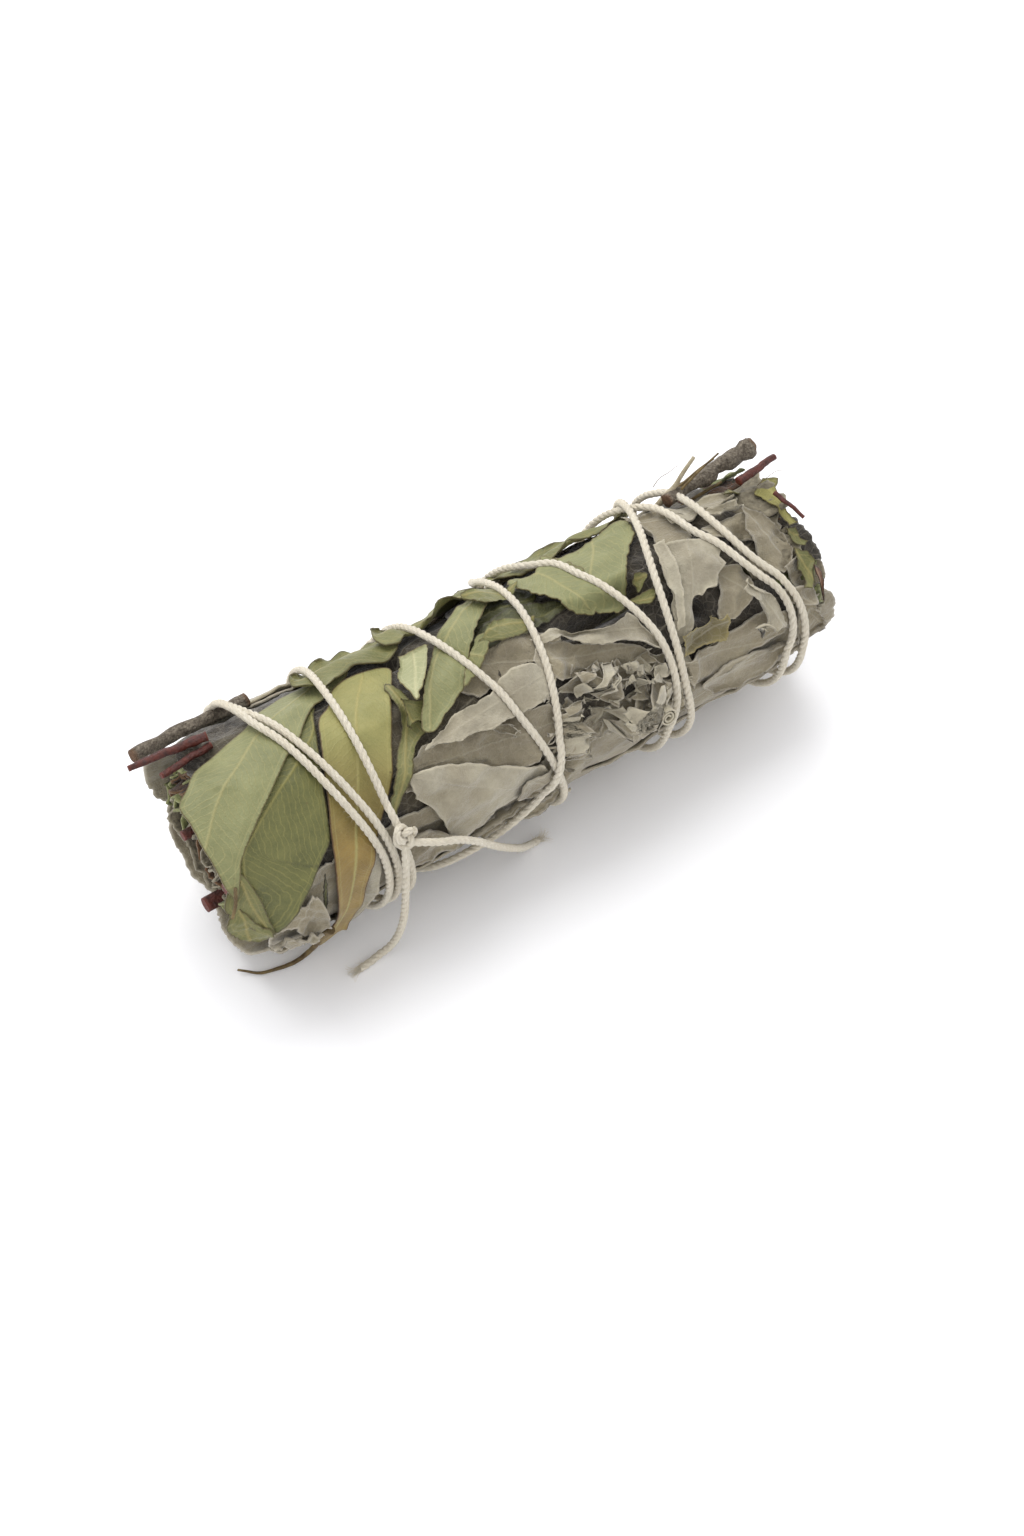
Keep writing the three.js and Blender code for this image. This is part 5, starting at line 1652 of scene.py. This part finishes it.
rosette = soft_leaf(
    [(28.4, -2), (33.3, 3.5), (37.2, 9), (37.6, 15), (36.2, 19), (36.6, 24), (34.4, 27), (33.2, 33),
     (31.8, 31.6), (30.6, 34.2), (29.5, 32), (28.6, 37), (28.2, 41), (27.3, 46), (24.5, 51), (22.8, 50),
     (25, 34), (27.2, 17)],
    crumple=0.6, curl=2.2, grain=(60, 2), rib=[(33, 4), (30, 26), (26, 46)], seed=706, rise=0.5,
    bumps=[(32, 16, 3, 4, 0.8)],
)
rolled_strip = soft_leaf(
    [(28.2, -3), (29.8, 0), (29.2, 14), (28, 26), (25.6, 42), (24, 43), (26.2, 20), (27.4, 4)],
    crumple=0.3, curl=2.6, curl_width=0.9, rib=[(28.6, -2), (24.8, 42)], seed=707, rise=0.7, spacing=0.34,
)
leaf_piece("broad_right_leaf", [rosette, rolled_strip], SAGE_PALE, "sage_grey", "front_sage_leaf_4")
olive = soft_leaf(
    [(24.1, 44.9), (27.2, 43.8), (29.0, 46.5), (30.6, 42.6), (31.6, 47), (32.9, 46.2), (33, 50.9),
     (32.2, 58), (31.2, 60.3), (27.2, 57.1), (23.1, 57)],
    crumple=0.4, curl=1.4, rib=[(24, 53), (33, 50)], seed=708, rise=0.5, spacing=0.32,
)
leaf_piece("olive_leaf", [olive], SAGE_OLIVE, "sage_grey")
light = soft_leaf(
    [(38.6, -9.6), (41.9, -7.8), (45.2, -7.7), (44.7, -2.9), (45.3, 1.4), (43, 2.6), (41.7, 0), (40, 2.5),
     (38.6, -2.8)],
    crumple=0.5, curl=1.8, grain=(-10, 2), seed=709, rise=0.8, spacing=0.34,
)
light_low = soft_leaf(
    [(34, -24), (42, -22), (46, -14), (45, -8), (38.4, -10), (35.5, -6), (33.6, -12)],
    crumple=0.6, curl=2.0, grain=(-10, 2), seed=719,
)
leaf_piece("upper_right_leaf", [light_low, light], SAGE_PALE, "sage_grey", "front_sage_leaf_10")
fold = soft_leaf(
    [(43.6, 0), (46.6, 8), (48.8, 22), (48.6, 34), (47, 46), (44.3, 45), (42.6, 34), (41.6, 26),
     (42.2, 12)],
    crumple=1.0, crumple_size=2.8, curl=2.2, grain=(75, 2.5), seed=710,
)
fold_end = soft_leaf([(45, 40), (49, 36), (52, 46), (51.6, 60), (48, 62), (45, 54)],
                      crumple=0.8, crumple_size=3, seed=711)
leaf_piece("folded_right_leaves", [fold_end, fold], SAGE_MID, "sage_grey")
curled = soft_leaf(
    [(37.5, 33.4), (39.1, 37), (41, 43), (42.1, 55.8), (42.3, 68.8), (41.4, 70.9), (39.6, 67.2),
     (38.3, 67.5), (36.6, 64), (35.4, 64.5), (35, 60.4), (37.3, 56.4), (36.8, 48.4), (36.1, 39.3)],
    crumple=0.4, curl=3.0, curl_width=1.8, rib=[(38, 34), (41, 72)], seed=712, rise=1.0,
    bumps=[(39.5, 50, 2.5, 3, 0.8)], spacing=0.34,
)
leaf_piece("curled_flap", [curled], SAGE_PALE, "sage_grey", "front_sage_leaf_8")
corner_leaf = soft_leaf(
    [(44.9, 59.2), (46.4, 62), (47.9, 64.3), (48.6, 71), (49.6, 75.1), (50.3, 84), (51, 91.7), (50.2, 94),
     (49.7, 97.6), (48.2, 94), (46.7, 95.3), (45.2, 92), (43.3, 94.1), (43.6, 80)],
    crumple=0.8, seed=713, rise=0.4, spacing=0.34,
)
leaf_piece("corner_leaf_right", [corner_leaf], SAGE_MID, "sage_grey", "front_sage_leaf_9")
corner_roll = soft_leaf(
    [(43.4, 51), (46.7, 54), (48.6, 58), (49, 64), (47.4, 66), (45.6, 64), (44.5, 62), (42.6, 58)],
    crumple=1.2, crumple_size=2.4, curl=2.6, seed=714, rise=0.5, spacing=0.34,
)
leaf_piece("corner_roll_right", [corner_roll], SAGE_MID, "sage_grey")
end_greens = [
    torn_leaf(
        [(48.5, 21.4), (50.8, 23), (50.3, 30.9), (51.4, 34), (50.1, 36.3), (48.7, 32.3)],
        crumple=0.6, sharp=True, curl=1.8, seed=715, spacing=0.3, rise=0.3,
    ),
    torn_leaf(
        [(48, 33), (50, 37.9), (51, 46.4), (49.5, 49.5), (48.7, 55), (47.4, 57.6), (46.1, 54.2),
         (47.1, 50.2), (46.7, 45)],
        crumple=0.6, sharp=True, curl=1.6, seed=717, spacing=0.3, rise=0.3,
    ),
    torn_leaf(
        [(45.7, -20.9), (46.7, -12.8), (45.4, -8.5), (43, -11.1)],
        crumple=0.4, sharp=True, seed=718, spacing=0.3, rise=0.5,
    ),
]
leaf_piece("green_leaves_right", end_greens, GREEN_MID, "eucalyptus_green")
olive_end = torn_leaf(
    [(47.6, -5.8), (49.4, -12), (51.5, -17.2), (53.8, -12.2), (52.8, -8), (52, -5.7), (51.2, 5), (50.7, 15),
     (50.9, 22.2), (48.7, 22), (49.1, 10), (48.5, 3.2)],
    crumple=0.4, sharp=True, curl=1.0, rib=[(51, -14), (50, 20)], seed=716, rise=0.7, spacing=0.32,
)
leaf_piece("olive_yellow_leaf_right", [olive_end], OLIVE_END, "eucalyptus_green", "torn_eucalyptus_leaf_6")
brown_end = torn_leaf(
    [(49.4, 45.9), (50.6, 50.3), (50.8, 58.3), (50, 72.1), (49.2, 67.6), (48.9, 55)],
    crumple=0.6, sharp=True, curl=1.4, seed=720, rise=0.3, spacing=0.32,
)
leaf_piece("brown_strip_right", [brown_end], BROWN_END, "eucalyptus_green")
